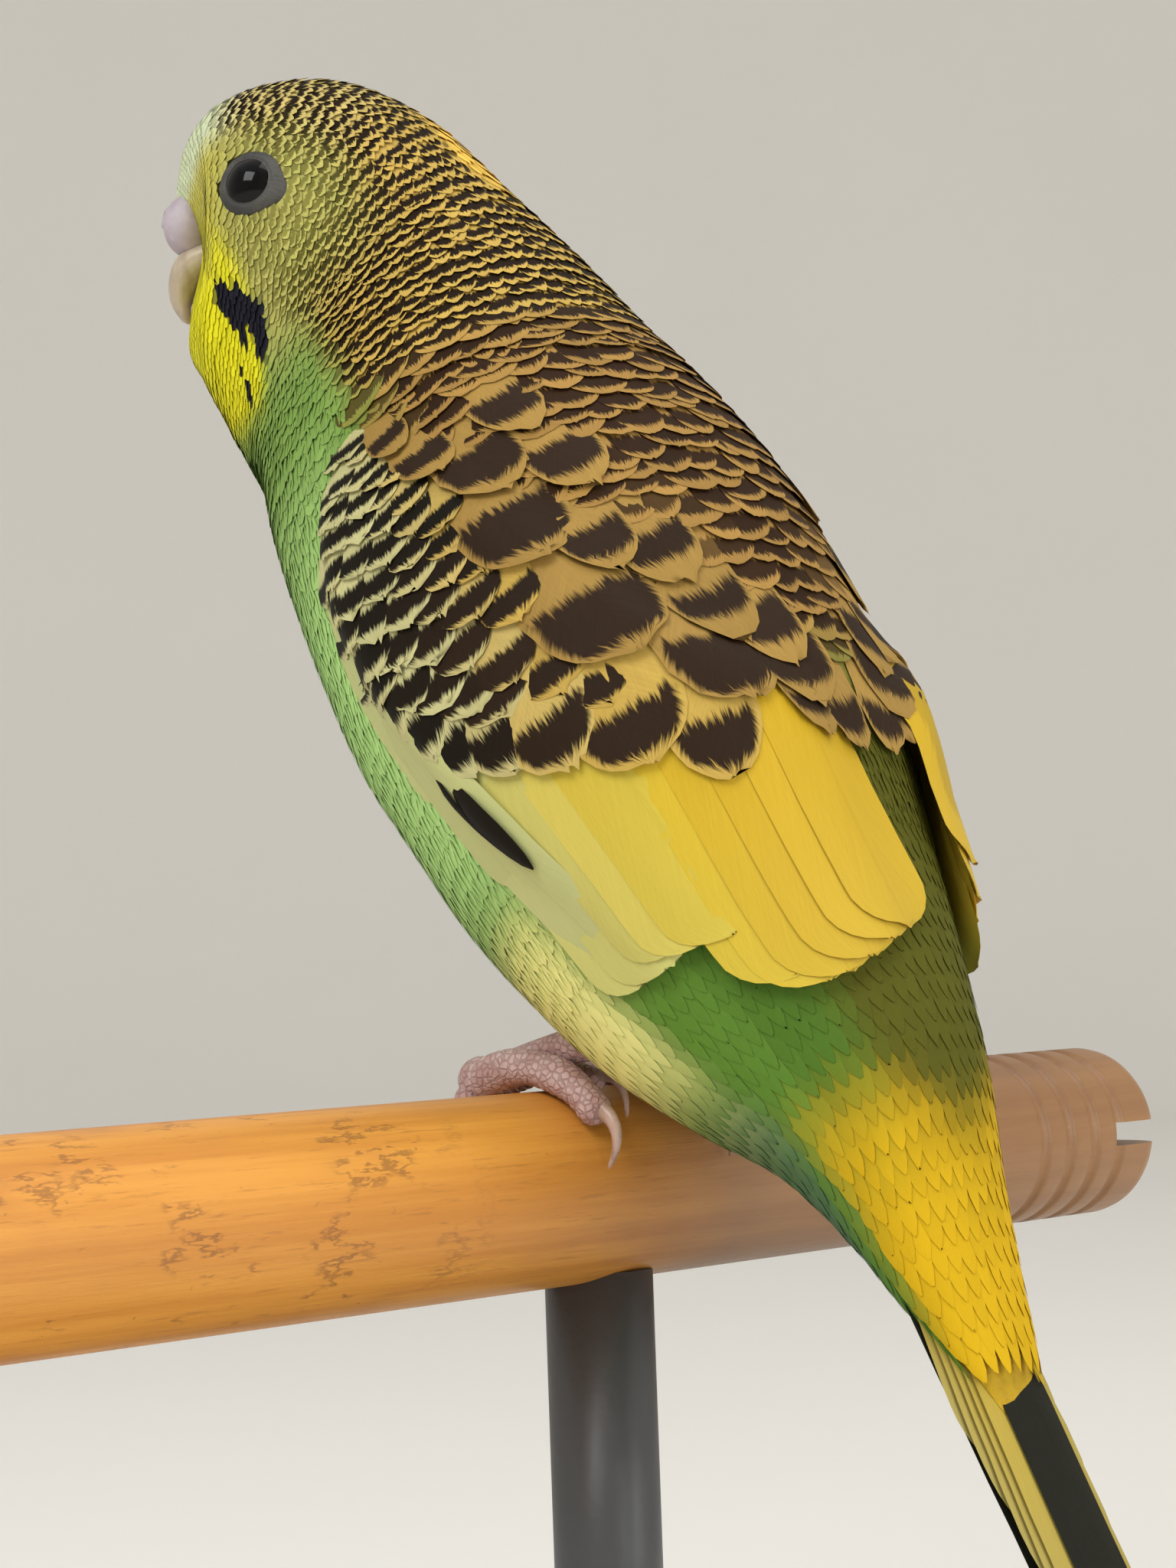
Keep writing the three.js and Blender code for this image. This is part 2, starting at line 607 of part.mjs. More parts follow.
function clawSolid(side, toe, grow = 0) {
  const stations = [];
  const steps = 3;
  const sign = Math.sign(toe.claw - toe.end);
  for (let i = 0; i <= steps; i += 1) {
    const t = i / steps;
    const thick = THREE.MathUtils.lerp(toe.thick * 0.62, CLAW.tip, t);
    const arch = CLAW.arch * Math.sin(Math.PI * t);
    const radius = PERCH.radius + FOOT.clearance + toe.thick * (1 - t) + CLAW.tip + arch;
    const x = side * (FOOT.out + toe.to * (1 + CLAW.splay * t));
    const angle = toe.end - sign * CLAW.sunk + (toe.claw - toe.end) * t;
    stations.push({ at: onPerch(x, angle, radius), wide: thick * 0.8, deep: thick, across: X_AXIS });
  }
  return sweep(stations, 6, grow);
}

function tarsusSolid(side, grow = 0) {
  const hub = footHub(side);
  const heel = new THREE.Vector3(...TARSUS.heel).multiply(new THREE.Vector3(side, 1, 1));
  const radius = TARSUS.radius;
  const middle = hub.clone().lerp(heel, 0.5).add(new THREE.Vector3(0, 0, 0.35));
  const stations = [
    { at: hub.clone().lerp(heel, 0.06), wide: radius * 1.1, deep: radius * 1.1, across: X_AXIS },
    { at: middle, wide: radius * 0.9, deep: radius, across: X_AXIS },
    { at: heel, wide: radius * 1.1, deep: radius * 1.2, across: X_AXIS },
  ];
  return sweep(stations, 12, grow);
}

// The perch: a turned dowel with shallow grooves and a slot at its right end
function perchSolid(grow = 0) {
  const { radius, left, right, endRound, groove } = PERCH;
  const profile = [[0, right], [radius - endRound * 1.3, right]];
  profile.push([radius - endRound * 0.3, right + endRound * 0.35], [radius, right + endRound]);
  for (const offset of GROOVES.at) {
    const at = right + offset;
    profile.push([radius, at - GROOVES.half], [radius - groove, at], [radius, at + GROOVES.half]);
  }
  profile.push([radius, left - PERCH.chamfer], [radius - PERCH.chamfer, left], [0, left]);
  const points = profile.map(([r, x]) => new THREE.Vector2(r === 0 ? 0 : r + grow, x));
  const dowel = new THREE.LatheGeometry(points, 26);
  dowel.rotateZ(-Math.PI / 2);
  const solid = toSolid(dowel);
  const slot = new THREE.BoxGeometry(PERCH_SLOT.deep * 2, radius * 3, PERCH_SLOT.wide);
  slot.translate(right, 0, 0);
  return solid.subtract(toSolid(slot));
}

function standBase() {
  const { baseRadius, baseThickness, baseChamfer } = STAND;
  const profile = [[0, 0], [baseRadius, 0], [baseRadius, baseThickness - baseChamfer]];
  profile.push([baseRadius - baseChamfer, baseThickness], [0, baseThickness]);
  const disc = new THREE.LatheGeometry(profile.map(([r, z]) => new THREE.Vector2(r, z)), 48);
  disc.rotateX(Math.PI / 2);
  disc.translate(0, 0, -PERCH_HEIGHT);
  return toSolid(disc);
}

function standRod() {
  const bottom = -PERCH_HEIGHT + STAND.baseThickness + GAP;
  const rod = new THREE.CylinderGeometry(STAND.rodRadius, STAND.rodRadius, -bottom, 32);
  rod.rotateX(Math.PI / 2);
  rod.translate(0, 0, bottom / 2);
  return toSolid(rod).subtract(perchSolid(GAP));
}

const model = new THREE.Group();
model.position.z = PERCH_HEIGHT;

function addPart(name, solid, colour, roughness = 0.85, metalness = 0) {
  const material = new THREE.MeshStandardMaterial({ color: colour, roughness, metalness });
  const mesh = new THREE.Mesh(toGeometry(solid), material);
  mesh.name = name;
  model.add(mesh);
}

const SIDES = [{ side: 1, label: 'left' }, { side: -1, label: 'right' }];
const wholeBody = bodySolid();

// Head, with sockets for the eyes and a seat for the bill and cere
const billCuts = [billSolid(BILL_UPPER, GAP), billSolid(BILL_LOWER, GAP), cereSolid(GAP)];
const eyeCuts = SIDES.flatMap(({ side }) => [eyeSolid(side, GAP), lidSolid(side, GAP)]);
const headCore = wholeBody.subtract(beyondSection(NECK_CUT, 1));
const headSolid = largest(headCore.subtract(join([...billCuts, ...eyeCuts])));
addPart('head', headSolid, COLOURS.head, 0.9);
for (const { side, label } of SIDES) {
  addPart(`eye_${label}`, eyeSolid(side), COLOURS.eye, 0.08);
  addPart(`eyelid_${label}`, largest(lidSolid(side)), COLOURS.lid, 0.7);
}
const cereCut = join([billSolid(BILL_UPPER, GAP), nostril(1), nostril(-1)]);
addPart('cere', largest(cereSolid().subtract(cereCut)), COLOURS.cere, 0.55);
addPart('bill_upper', billSolid(BILL_UPPER), COLOURS.bill, 0.45);
const lowerBill = largest(billSolid(BILL_LOWER).subtract(billSolid(BILL_UPPER, GAP)));
addPart('bill_lower', lowerBill, COLOURS.bill, 0.45);

// Neck and torso
const neckSolid = wholeBody.subtract(beyondSection(NECK_CUT, -1)).subtract(beyondSection(TORSO_CUT, 1));
addPart('neck', largest(neckSolid), COLOURS.neck, 0.9);
const pockets = SIDES.map(({ side }) => wingPatch(side, GAP));
const legCuts = SIDES.map(({ side }) => tarsusSolid(side, GAP));
const trunk = wholeBody.subtract(beyondSection(TORSO_CUT, -1)).subtract(beyondSection(TAIL_CUT, 1));
const torsoSolid = largest(trunk.subtract(join([...pockets, ...legCuts])));
addPart('torso', torsoSolid, COLOURS.torso, 0.9);

// Tail and wings
addPart('tail', tailSolid(wholeBody.subtract(beyondSection(TAIL_CUT, -1))), COLOURS.tail, 0.8);
for (const { side, label } of SIDES) {
  addPart(`wing_${label}`, wingSolid(side), COLOURS.wing, 0.8);
}

// Legs, feet and claws
for (const { side, label } of SIDES) {
  addPart(`leg_${label}`, largest(tarsusSolid(side)), COLOURS.skin, 0.65);
  const claws = TOES.map((toe) => clawSolid(side, toe, GAP));
  const foot = footSolid(side).subtract(join([tarsusSolid(side, GAP), ...claws]));
  addPart(`foot_${label}`, largest(foot), COLOURS.skin, 0.65);
  for (const toe of TOES) addPart(`claw_${label}_${toe.name}`, clawSolid(side, toe), COLOURS.claw, 0.4);
}

// Perch and stand
addPart('perch', perchSolid(), COLOURS.perch, 0.5);
addPart('stand_rod', standRod(), COLOURS.stand, 0.4, 0.6);
addPart('stand_base', standBase(), COLOURS.stand, 0.5, 0.4);

export default model;
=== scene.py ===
"""A still, life-size budgerigar gripping a cut length of dowel on a plain display stand."""

import logging
import math
from dataclasses import dataclass, field, replace
from enum import Enum
from typing import Callable, Iterable, Sequence

import bmesh
import bpy
import numpy as np
from mathutils import Matrix, Vector
from mathutils.kdtree import KDTree


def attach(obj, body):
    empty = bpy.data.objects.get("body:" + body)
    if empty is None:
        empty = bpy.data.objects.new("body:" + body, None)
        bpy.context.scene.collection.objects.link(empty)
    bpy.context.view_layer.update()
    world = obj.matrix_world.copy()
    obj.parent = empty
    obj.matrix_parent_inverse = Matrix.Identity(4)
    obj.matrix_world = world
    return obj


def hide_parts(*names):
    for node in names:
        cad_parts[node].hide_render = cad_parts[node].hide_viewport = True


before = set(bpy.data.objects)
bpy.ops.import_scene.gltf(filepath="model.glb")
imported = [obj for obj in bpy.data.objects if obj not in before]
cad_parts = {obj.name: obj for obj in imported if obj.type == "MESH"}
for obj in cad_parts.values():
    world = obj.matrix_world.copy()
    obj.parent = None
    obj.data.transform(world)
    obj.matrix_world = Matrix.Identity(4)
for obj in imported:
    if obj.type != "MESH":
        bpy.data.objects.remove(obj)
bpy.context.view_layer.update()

log = logging.getLogger("budgerigar")
MM = 0.001
PERCH_HEIGHT = 68.0
SEED = 11
SIDES = ((1, "left"), (-1, "right"))


def srgb(red: float, green: float, blue: float) -> np.ndarray:
    """A colour given as 0 to 255 on a screen, as linear light."""
    value = np.array([red, green, blue]) / 255.0
    return np.where(value <= 0.04045, value / 12.92, ((value + 0.055) / 1.055) ** 2.4)


def ramp(value: np.ndarray, low: float, high: float) -> np.ndarray:
    """A smooth step from 0 at low to 1 at high, which may be the smaller one."""
    t = np.clip((np.asarray(value, float) - low) / (high - low), 0.0, 1.0)
    return t * t * (3.0 - 2.0 * t)


def blend(base: np.ndarray, colour: np.ndarray, share: np.ndarray) -> np.ndarray:
    """Colours moved towards another one by a share for each."""
    share = np.asarray(share, float)[..., None]
    return base * (1.0 - share) + colour * share


def read_off(table: tuple, s: np.ndarray) -> np.ndarray:
    """Values at each s from a table of pairs, with straight lines between them."""
    return np.interp(s, *np.array(table, float).T)


# The body's form


class BodyForm:
    """The bird's surface: s runs in mm from face to tail, angle in degrees from the back."""

    STATIONS = np.array([
        # s, back y and z, front y and z, half width, cheek, share of the head's turn
        [-34, -41.1, 88.3, -38.9, 80.0, 2.6, 1.5, 1.0],
        [-31, -40.2, 91.6, -39.9, 75.8, 6.6, 3.3, 1.0],
        [-26, -37.4, 95.0, -38.4, 72.2, 9.8, 2.2, 1.0],
        [-20, -31.8, 97.1, -36.8, 68.2, 11.8, 1.1, 1.0],
        [-13, -24.4, 96.7, -35.4, 64.0, 13.2, 0.3, 0.92],
        [-6, -16.6, 92.3, -33.6, 61.0, 14.5, 0, 0.7],
        [0, -10.1, 85.2, -31.9, 59.4, 15.4, 0, 0.42],
        [5, -3.8, 78.6, -29.9, 57.8, 16.6, 0, 0.2],
        [12, 1.4, 72.7, -26.8, 52.4, 18.2, 0, 0.05],
        [20, 6.8, 66.8, -22.8, 45.4, 19.7, 0, 0],
        [28, 12.3, 60.8, -19.0, 38.4, 20.7, 0, 0],
        [36, 17.0, 54.4, -14.8, 31.4, 21.0, 0, 0],
        [44, 21.3, 47.6, -9.7, 25.2, 20.5, 0, 0],
        [52, 25.6, 40.9, -4.6, 18.9, 19.5, 0, 0],
        [60, 29.0, 33.4, 1.4, 13.4, 18.0, 0, 0],
        [68, 31.9, 25.6, 7.9, 8.2, 15.6, 0, 0],
        [76, 35.0, 18.0, 15.5, 4.0, 12.4, 0, 0],
        [84, 37.6, 10.2, 23.6, 0.4, 9.4, 0, 0],
        [92, 39.0, 1.4, 30.6, -5.2, 7.3, 0, 0],
        [98, 40.4, -5.4, 35.0, -9.6, 6.0, 0, 0],
        [103, 42.0, -11.4, 39.2, -13.2, 4.4, 0, 0],
        [107, 43.2, -15.6, 42.0, -16.4, 2.8, 0, 0],
    ])
    ROUNDNESS = 2.15
    TURN = 33.0
    TURN_AXIS = -24.4
    FIRST = -34.0
    LAST = 107.0
    LEAST_ALONG = 0.12
    LEAST_ROUND = 0.02

    def sections(self, s: np.ndarray) -> np.ndarray:
        """The station's values at each s, by a cubic through the stations.

        Args:
            s: places along the body, in mm.

        Returns:
            An array with seven values for each s.
        """
        knots, values = self.STATIONS[:, 0], self.STATIONS[:, 1:]
        s = np.clip(np.asarray(s, float), self.FIRST, self.LAST)
        i = np.clip(np.searchsorted(knots, s, side="right") - 1, 0, len(knots) - 2)
        low, high = knots[i], knots[i + 1]
        before = np.where(i > 0, i - 1, i + 1)
        after = np.where(i < len(knots) - 2, i + 2, i)
        run = high - low
        weight_before = 0.5 * run / (low - knots[before])
        weight_after = 0.5 * run / (knots[after] - high)
        p = (s - low) / run
        pp, ppp = p * p, p * p * p
        shares = (
            -weight_before * ppp + 2 * weight_before * pp - weight_before * p,
            (1 + weight_before) * ppp + (-1.5 - 2 * weight_before) * pp + (-0.5 + weight_before) * p + 1,
            (-1 - weight_after) * ppp + (1.5 + weight_after) * pp + 0.5 * p,
            weight_after * ppp - weight_after * pp,
        )
        total = 0.0
        for share, index in zip(shares, (before, i, i + 1, after)):
            total = total + share[..., None] * values[index]
        return total

    def place(self, s: np.ndarray, angle: np.ndarray, lift: np.ndarray = 0.0) -> np.ndarray:
        """Points of the surface in mm in the part's frame, lifted off it.

        Args:
            s: places along the body, in mm.
            angle: degrees round it, the left side positive.
            lift: distance off the surface, in mm.

        Returns:
            An array of points.
        """
        back_y, back_z, front_y, front_z, half, cheek, share = np.moveaxis(self.sections(s), -1, 0)
        turn = np.radians(np.asarray(angle, float))
        power = 2.0 / self.ROUNDNESS
        cos = np.sign(np.cos(turn)) * np.abs(np.cos(turn)) ** power
        sin = np.sign(np.sin(turn)) * np.abs(np.sin(turn)) ** power
        middle_y, middle_z = (back_y + front_y) / 2, (back_z + front_z) / 2
        depth = np.hypot(back_y - middle_y, back_z - middle_z)
        y = middle_y + (back_y - middle_y) * cos * (1 + lift / depth)
        z = middle_z + (back_z - middle_z) * cos * (1 + lift / depth)
        x = sin * (half + lift)
        y = y + cheek * np.sin(turn) ** 2
        head = np.radians(self.TURN) * share
        y = y - self.TURN_AXIS
        turned_x = x * np.cos(head) - y * np.sin(head)
        turned_y = x * np.sin(head) + y * np.cos(head) + self.TURN_AXIS
        return np.stack([turned_x, turned_y, z + PERCH_HEIGHT], -1)

    def spans(self, s: np.ndarray, angle: np.ndarray) -> tuple[np.ndarray, np.ndarray]:
        """How many mm one unit of s and one degree of angle cover at each place."""
        step = 0.3
        along = self.place(s + step, angle) - self.place(s - step, angle)
        round_ = self.place(s, angle + step) - self.place(s, angle - step)
        along = np.linalg.norm(along, axis=-1) / (2 * step)
        round_ = np.linalg.norm(round_, axis=-1) / (2 * step)
        return np.maximum(along, self.LEAST_ALONG), np.maximum(round_, self.LEAST_ROUND)

    def outward(self, s: float, angle: float) -> Vector:
        """The direction straight out of the surface at one place."""
        along = self.place(s + 0.5, angle) - self.place(s - 0.5, angle)
        round_ = self.place(s, angle + 0.5) - self.place(s, angle - 0.5)
        out = Vector(np.cross(round_, along)).normalized()
        inside = Vector((self.place(s, 0) + self.place(s, 180)) / 2)
        if out.dot(Vector(self.place(s, angle)) - inside) < 0:
            out.negate()
        return out


class TailPlane:
    """The tail's own surface: reach in mm down it, aside in mm across, and lift off it."""

    ROOT = (34.3, -2.3)
    SLOPE = math.radians(62.5)
    MAP_WIDTH = 40.0
    MAP_LENGTH = 100.0
    MAP_START = 12.0

    def place(self, reach: np.ndarray, aside: np.ndarray, lift: np.ndarray = 0.0) -> np.ndarray:
        """Points of the tail's plane, in mm in the part's frame."""
        y = self.ROOT[0] + reach * math.cos(self.SLOPE) + lift * math.sin(self.SLOPE)
        z = self.ROOT[1] - reach * math.sin(self.SLOPE) + lift * math.cos(self.SLOPE)
        return np.stack([aside + 0 * y, y, z + PERCH_HEIGHT], -1)

    def spans(self, reach: np.ndarray, aside: np.ndarray) -> tuple[np.ndarray, np.ndarray]:
        """The plane's units are mm both ways."""
        return np.ones_like(reach), np.ones_like(reach)


# Materials


class Wire:
    """A socket of a material, with the arithmetic that the finishes use."""

    def __init__(self, board: "Board", socket: bpy.types.NodeSocket) -> None:
        """Keeps the board and the socket that the value comes from."""
        self.board = board
        self.socket = socket

    def maths(self, operation: str, *others: "Wire | float") -> "Wire":
        """A Math node on this value and others."""
        inputs = dict(enumerate((self, *others)))
        return self.board.node("ShaderNodeMath", {"operation": operation}, inputs)

    def __add__(self, other: "Wire | float") -> "Wire":
        """The sum."""
        return self.maths("ADD", other)

    def __radd__(self, other: float) -> "Wire":
        """The sum with a number first."""
        return self.maths("ADD", other)

    def __sub__(self, other: "Wire | float") -> "Wire":
        """The difference."""
        return self.maths("SUBTRACT", other)

    def __rsub__(self, other: float) -> "Wire":
        """The difference with a number first."""
        return self.board.node("ShaderNodeMath", {"operation": "SUBTRACT"}, {0: other, 1: self})

    def __mul__(self, other: "Wire | float") -> "Wire":
        """The product."""
        return self.maths("MULTIPLY", other)

    def __rmul__(self, other: float) -> "Wire":
        """The product with a number first."""
        return self.maths("MULTIPLY", other)

    def __abs__(self) -> "Wire":
        """The size without its sign."""
        return self.maths("ABSOLUTE")

    def smooth(self, low: "Wire | float", high: "Wire | float") -> "Wire":
        """A smooth step from 0 at low to 1 at high."""
        return self.board.node("ShaderNodeMapRange", {"interpolation_type": "SMOOTHSTEP"},
                               {0: self, 1: low, 2: high, 3: 0.0, 4: 1.0})


class Board:
    """A material's node tree, built from expressions."""

    def __init__(self, name: str) -> None:
        """Makes the material with one Principled shader."""
        self.material = bpy.data.materials.new(name)
        self.material.use_nodes = True
        self.tree = self.material.node_tree
        self.shader = self.tree.nodes["Principled BSDF"]

    def node(self, kind: str, settings: dict, inputs: dict, output: int | str = 0) -> Wire:
        """Any node.

        Args:
            kind: the node's type.
            settings: the node's own settings, set before its sockets.
            inputs: values or wires, by the socket's name or number.
            output: the output to use.

        Returns:
            The chosen output as a wire.
        """
        made = self.tree.nodes.new(kind)
        for key, value in settings.items():
            setattr(made, key, value)
        for key, value in inputs.items():
            self.feed(made.inputs[key], value)
        return Wire(self, made.outputs[output])

    def feed(self, socket: bpy.types.NodeSocket, value: "Wire | float | Sequence[float]") -> None:
        """Links a wire to a socket, or sets the socket's own value."""
        if isinstance(value, Wire):
            self.tree.links.new(value.socket, socket)
        elif hasattr(value, "__len__"):
            size = len(socket.default_value)
            socket.default_value = (*[float(v) for v in value], 1.0)[:size]
        else:
            socket.default_value = float(value)

    def set(self, **values: "Wire | float | Sequence[float]") -> None:
        """Feeds the shader's sockets, named with _ for each space."""
        for name, value in values.items():
            self.feed(self.shader.inputs[name.replace("_", " ")], value)

    def mix(self, share: "Wire | float", first: "Wire | Sequence[float]",
            second: "Wire | Sequence[float]", way: str = "MIX") -> Wire:
        """Two colours mixed by a share."""
        return self.node("ShaderNodeMix", {"data_type": "RGBA", "blend_type": way},
                         {0: share, 6: first, 7: second}, 2)

    def noise(self, at: Wire, scale: float, detail: float = 2.0, rough: float = 0.5) -> Wire:
        """Noise at a place, about a half on average."""
        return self.node("ShaderNodeTexNoise", {},
                         {"Vector": at, "Scale": scale, "Detail": detail, "Roughness": rough})

    def stretched(self, at: Wire, size: Sequence[float], shift: Sequence[float] = (0, 0, 0)) -> Wire:
        """A place with its axes scaled and shifted."""
        return self.node("ShaderNodeMapping", {}, {"Vector": at, "Scale": size, "Location": shift})

    def place(self) -> Wire:
        """The place on the object, in metres."""
        return self.node("ShaderNodeTexCoord", {}, {}, "Object")

    def attribute(self, name: str, output: str = "Fac") -> Wire:
        """An attribute of the mesh."""
        return self.node("ShaderNodeAttribute", {"attribute_name": name}, {}, output)

    def uv(self, name: str) -> Wire:
        """A UV map of the mesh."""
        return self.node("ShaderNodeUVMap", {"uv_map": name}, {})

    def parts(self, vector: Wire) -> tuple[Wire, Wire, Wire]:
        """The three numbers of a vector."""
        made = self.tree.nodes.new("ShaderNodeSeparateXYZ")
        self.feed(made.inputs[0], vector)
        return tuple(Wire(self, out) for out in made.outputs)

    def vector(self, x: "Wire | float", y: "Wire | float", z: "Wire | float") -> Wire:
        """A vector of three numbers."""
        return self.node("ShaderNodeCombineXYZ", {}, {0: x, 1: y, 2: z})

    def bump(self, height: Wire, depth: float, strength: float = 1.0) -> Wire:
        """A bumped normal from a height of 0 to 1 and its depth in metres."""
        return self.node("ShaderNodeBump", {}, {"Height": height, "Distance": depth, "Strength": strength})


class VaneKind(Enum):
    """Shapes of vane: points across and along, where the tip rounds, its crowding and its neck."""

    FACE = (3, 5, 0.4, 1.2, 0.6)
    SMALL = (3, 6, 0.5, 1.3, 0.5)
    TUFT = (3, 4, 0.15, 1.0, 0.8)
    CONTOUR = (5, 7, 0.45, 1.3, 0.5)
    PLUME = (5, 8, 0.3, 1.2, 0.6)
    COVERT = (7, 11, 0.62, 1.6, 0.5)
    SCALLOP = (7, 10, 0.76, 1.7, 0.55)
    FLIGHT = (9, 18, 0.88, 1.9, 0.45)
    TAIL = (9, 18, 0.8, 1.6, 0.6)

    @property
    def columns(self) -> int:
        """Points across the vane."""
        return self.value[0]

    @property
    def rows(self) -> int:
        """Points along the vane."""
        return self.value[1]

    @property
    def along(self) -> np.ndarray:
        """The rows' places along the vane, closer towards the tip."""
        return 1.0 - (1.0 - np.linspace(0.0, 1.0, self.rows)) ** self.value[3]

    @property
    def outline(self) -> np.ndarray:
        """The width at each row, as a share of the widest."""
        rounding, neck, v = self.value[2], self.value[4], self.along
        past = np.clip((v - rounding) / (1.0 - rounding), 0.0, 1.0)
        return (neck + (1 - neck) * ramp(v, 0, 0.35)) * np.sqrt(np.maximum(1 - past ** 2, 0.015))


@dataclass(frozen=True)
class Plumage:
    """The finish of feathers: barbs, shaft, and a dark mark across each vane."""

    name: str
    barbs: float = 20.0
    fringe: float = 0.1
    shaft: float = 0.0
    roughness: float = 0.62
    depth: float = 0.00008
    bow: float = 0.16
    contrast: float = 0.24

    def build(self) -> bpy.types.Material:
        """Makes the material.

        Returns:
            A material that reads the vane's UV map, its colours and its mark.
        """
        board = Board(self.name)
        across, along, _ = board.parts(board.uv("Vane"))
        side = abs(across * 2.0 - 1.0)
        tone = board.attribute("tone")
        barb = board.vector(along * self.barbs - side * (self.barbs * 0.35), across * 2.2, tone * 37.0)
        strands = board.noise(barb, 1.0, 2.0, 0.6)
        hair = board.vector(across * self.barbs, along * 2.6, tone * 91.0)
        fuzz = board.noise(hair, 1.0, 2.0, 0.7)
        mark = board.attribute("mark", "Color")
        centre, wide, reach = board.parts(board.attribute("band", "Vector"))
        at = along + side * side * self.bow + (fuzz - 0.5) * (2.4 * self.fringe)
        off = abs(at - centre)
        band = off.smooth(wide + 0.035, wide - 0.035)
        inside = (side + (strands - 0.5) * 0.3).smooth(reach + 0.08, reach - 0.08)
        share = band * inside * board.attribute("strength")
        colour = board.mix(share, board.attribute("ground", "Color"), mark)
        shade = (1.0 - self.contrast * 0.9) + strands * self.contrast + fuzz * self.contrast * 0.8
        shade = shade + (tone - 0.5) * self.contrast * 0.6
        if self.shaft:
            shade = shade - side.smooth(0.08, 0.01) * self.shaft
        colour = board.mix(1.0, colour, board.vector(shade, shade, shade), "MULTIPLY")
        board.set(Base_Color=colour, Roughness=self.roughness, Specular_IOR_Level=0.1,
                  Normal=board.bump(strands * 0.5 + fuzz * 0.5, self.depth, 0.8))
        return board.material


@dataclass(frozen=True)
class Hide:
    """The finish of the skin under the feathers, in the coat's own colours."""

    name: str = "skin_under_feathers"

    def build(self) -> bpy.types.Material:
        """Makes the material from the mesh's colours and a soft down."""
        board = Board(self.name)
        down = board.noise(board.place(), 900.0, 3.0, 0.7)
        share = board.attribute("strength") * 0.55
        colour = board.mix(share, board.attribute("ground", "Color"), board.attribute("mark", "Color"))
        shade = 0.55 + down * 0.4
        colour = board.mix(1.0, colour, board.vector(shade, shade, shade), "MULTIPLY")
        board.set(Base_Color=colour, Roughness=0.9, Normal=board.bump(down, 0.0003))
        return board.material


@dataclass(frozen=True)
class Horn:
    """The finish of bill and claws: smooth keratin, streaked along its growth."""

    name: str
    pale: tuple
    dark: tuple
    roughness: float = 0.38
    growth: tuple = (900.0, 900.0, 260.0)

    def build(self) -> bpy.types.Material:
        """Makes the material."""
        board = Board(self.name)
        place = board.place()
        streaks = board.noise(board.stretched(place, self.growth), 1.0, 3.0)
        flakes = board.noise(place, 2600.0, 3.0, 0.65)
        colour = board.mix(streaks.smooth(0.38, 0.68), srgb(*self.pale), srgb(*self.dark))
        colour = board.mix(flakes * 0.25, colour, srgb(236, 226, 204))
        board.set(Base_Color=colour, Roughness=self.roughness + flakes * 0.2 - 0.1,
                  Subsurface_Weight=0.15, Subsurface_Radius=(1.0, 0.6, 0.4), Subsurface_Scale=0.0006,
                  Normal=board.bump(streaks * 0.5 + flakes * 0.5, 0.00006))
        return board.material


@dataclass(frozen=True)
class ScalySkin:
    """The finish of feet: thin pink skin under rows of small scales."""

    name: str
    flesh: tuple
    shade: tuple
    scale: float = 1500.0
    roughness: float = 0.5

    def build(self) -> bpy.types.Material:
        """Makes the material."""
        board = Board(self.name)
        place = board.place()
        cells = board.node("ShaderNodeTexVoronoi", {"feature": "DISTANCE_TO_EDGE"},
                           {"Vector": place, "Scale": self.scale, "Randomness": 0.75}, "Distance")
        seams = cells.smooth(0.02, 0.16)
        mottle = board.noise(place, 420.0, 4.0, 0.6)
        colour = board.mix(mottle.smooth(0.35, 0.65), srgb(*self.flesh), srgb(*self.shade))
        colour = board.mix((1.0 - seams) * 0.45, colour, srgb(138, 92, 86))
        board.set(Base_Color=colour, Roughness=self.roughness + mottle * 0.2 - 0.1,
                  Subsurface_Weight=0.25, Subsurface_Radius=(1.0, 0.35, 0.25), Subsurface_Scale=0.0008,
                  Normal=board.bump(seams, 0.00008))
        return board.material


@dataclass(frozen=True)
class WaxySkin:
    """The finish of the cere and the eye rings: bare, finely wrinkled skin."""

    name: str
    light: tuple
    shade: tuple
    wrinkles: float = 1500.0

    def build(self) -> bpy.types.Material:
        """Makes the material."""
        board = Board(self.name)
        place = board.place()
        folds = board.noise(place, self.wrinkles, 4.0, 0.65)
        bloom = board.noise(place, 350.0, 3.0)
        colour = board.mix(bloom.smooth(0.35, 0.66), srgb(*self.light), srgb(*self.shade))
        board.set(Base_Color=colour, Roughness=0.5 + folds * 0.15, Subsurface_Weight=0.2,
                  Subsurface_Radius=(1.0, 0.6, 0.6), Subsurface_Scale=0.0006,
                  Normal=board.bump(folds, 0.00012))
        return board.material


@dataclass(frozen=True)
class EyeGloss:
    """The finish of an eye: a dark brown iris round a black pupil under a wet cornea."""

    name: str
    centre: tuple
    outward: tuple
    pupil: float = 0.00264

    def build(self) -> bpy.types.Material:
        """Makes the material, with the rings set round the eye's own axis."""
        board = Board(self.name)
        place = board.place()
        off = board.node("ShaderNodeVectorMath", {"operation": "SUBTRACT"}, {0: place, 1: self.centre})
        facing = board.node("ShaderNodeVectorMath", {"operation": "DOT_PRODUCT"},
                            {0: off, 1: self.outward}, "Value")
        iris = facing.smooth(self.pupil + 0.00004, self.pupil - 0.00006)
        spokes = board.noise(place, 2400.0, 3.0)
        colour = board.mix(iris, srgb(2, 1, 3), srgb(6, 4, 4))
        colour = board.mix(iris * spokes * 0.5, colour, srgb(18, 14, 12))
        board.set(Base_Color=colour, Roughness=0.08, Specular_IOR_Level=0.14, Coat_Weight=0.16,
                  Coat_Roughness=0.02)
        return board.material


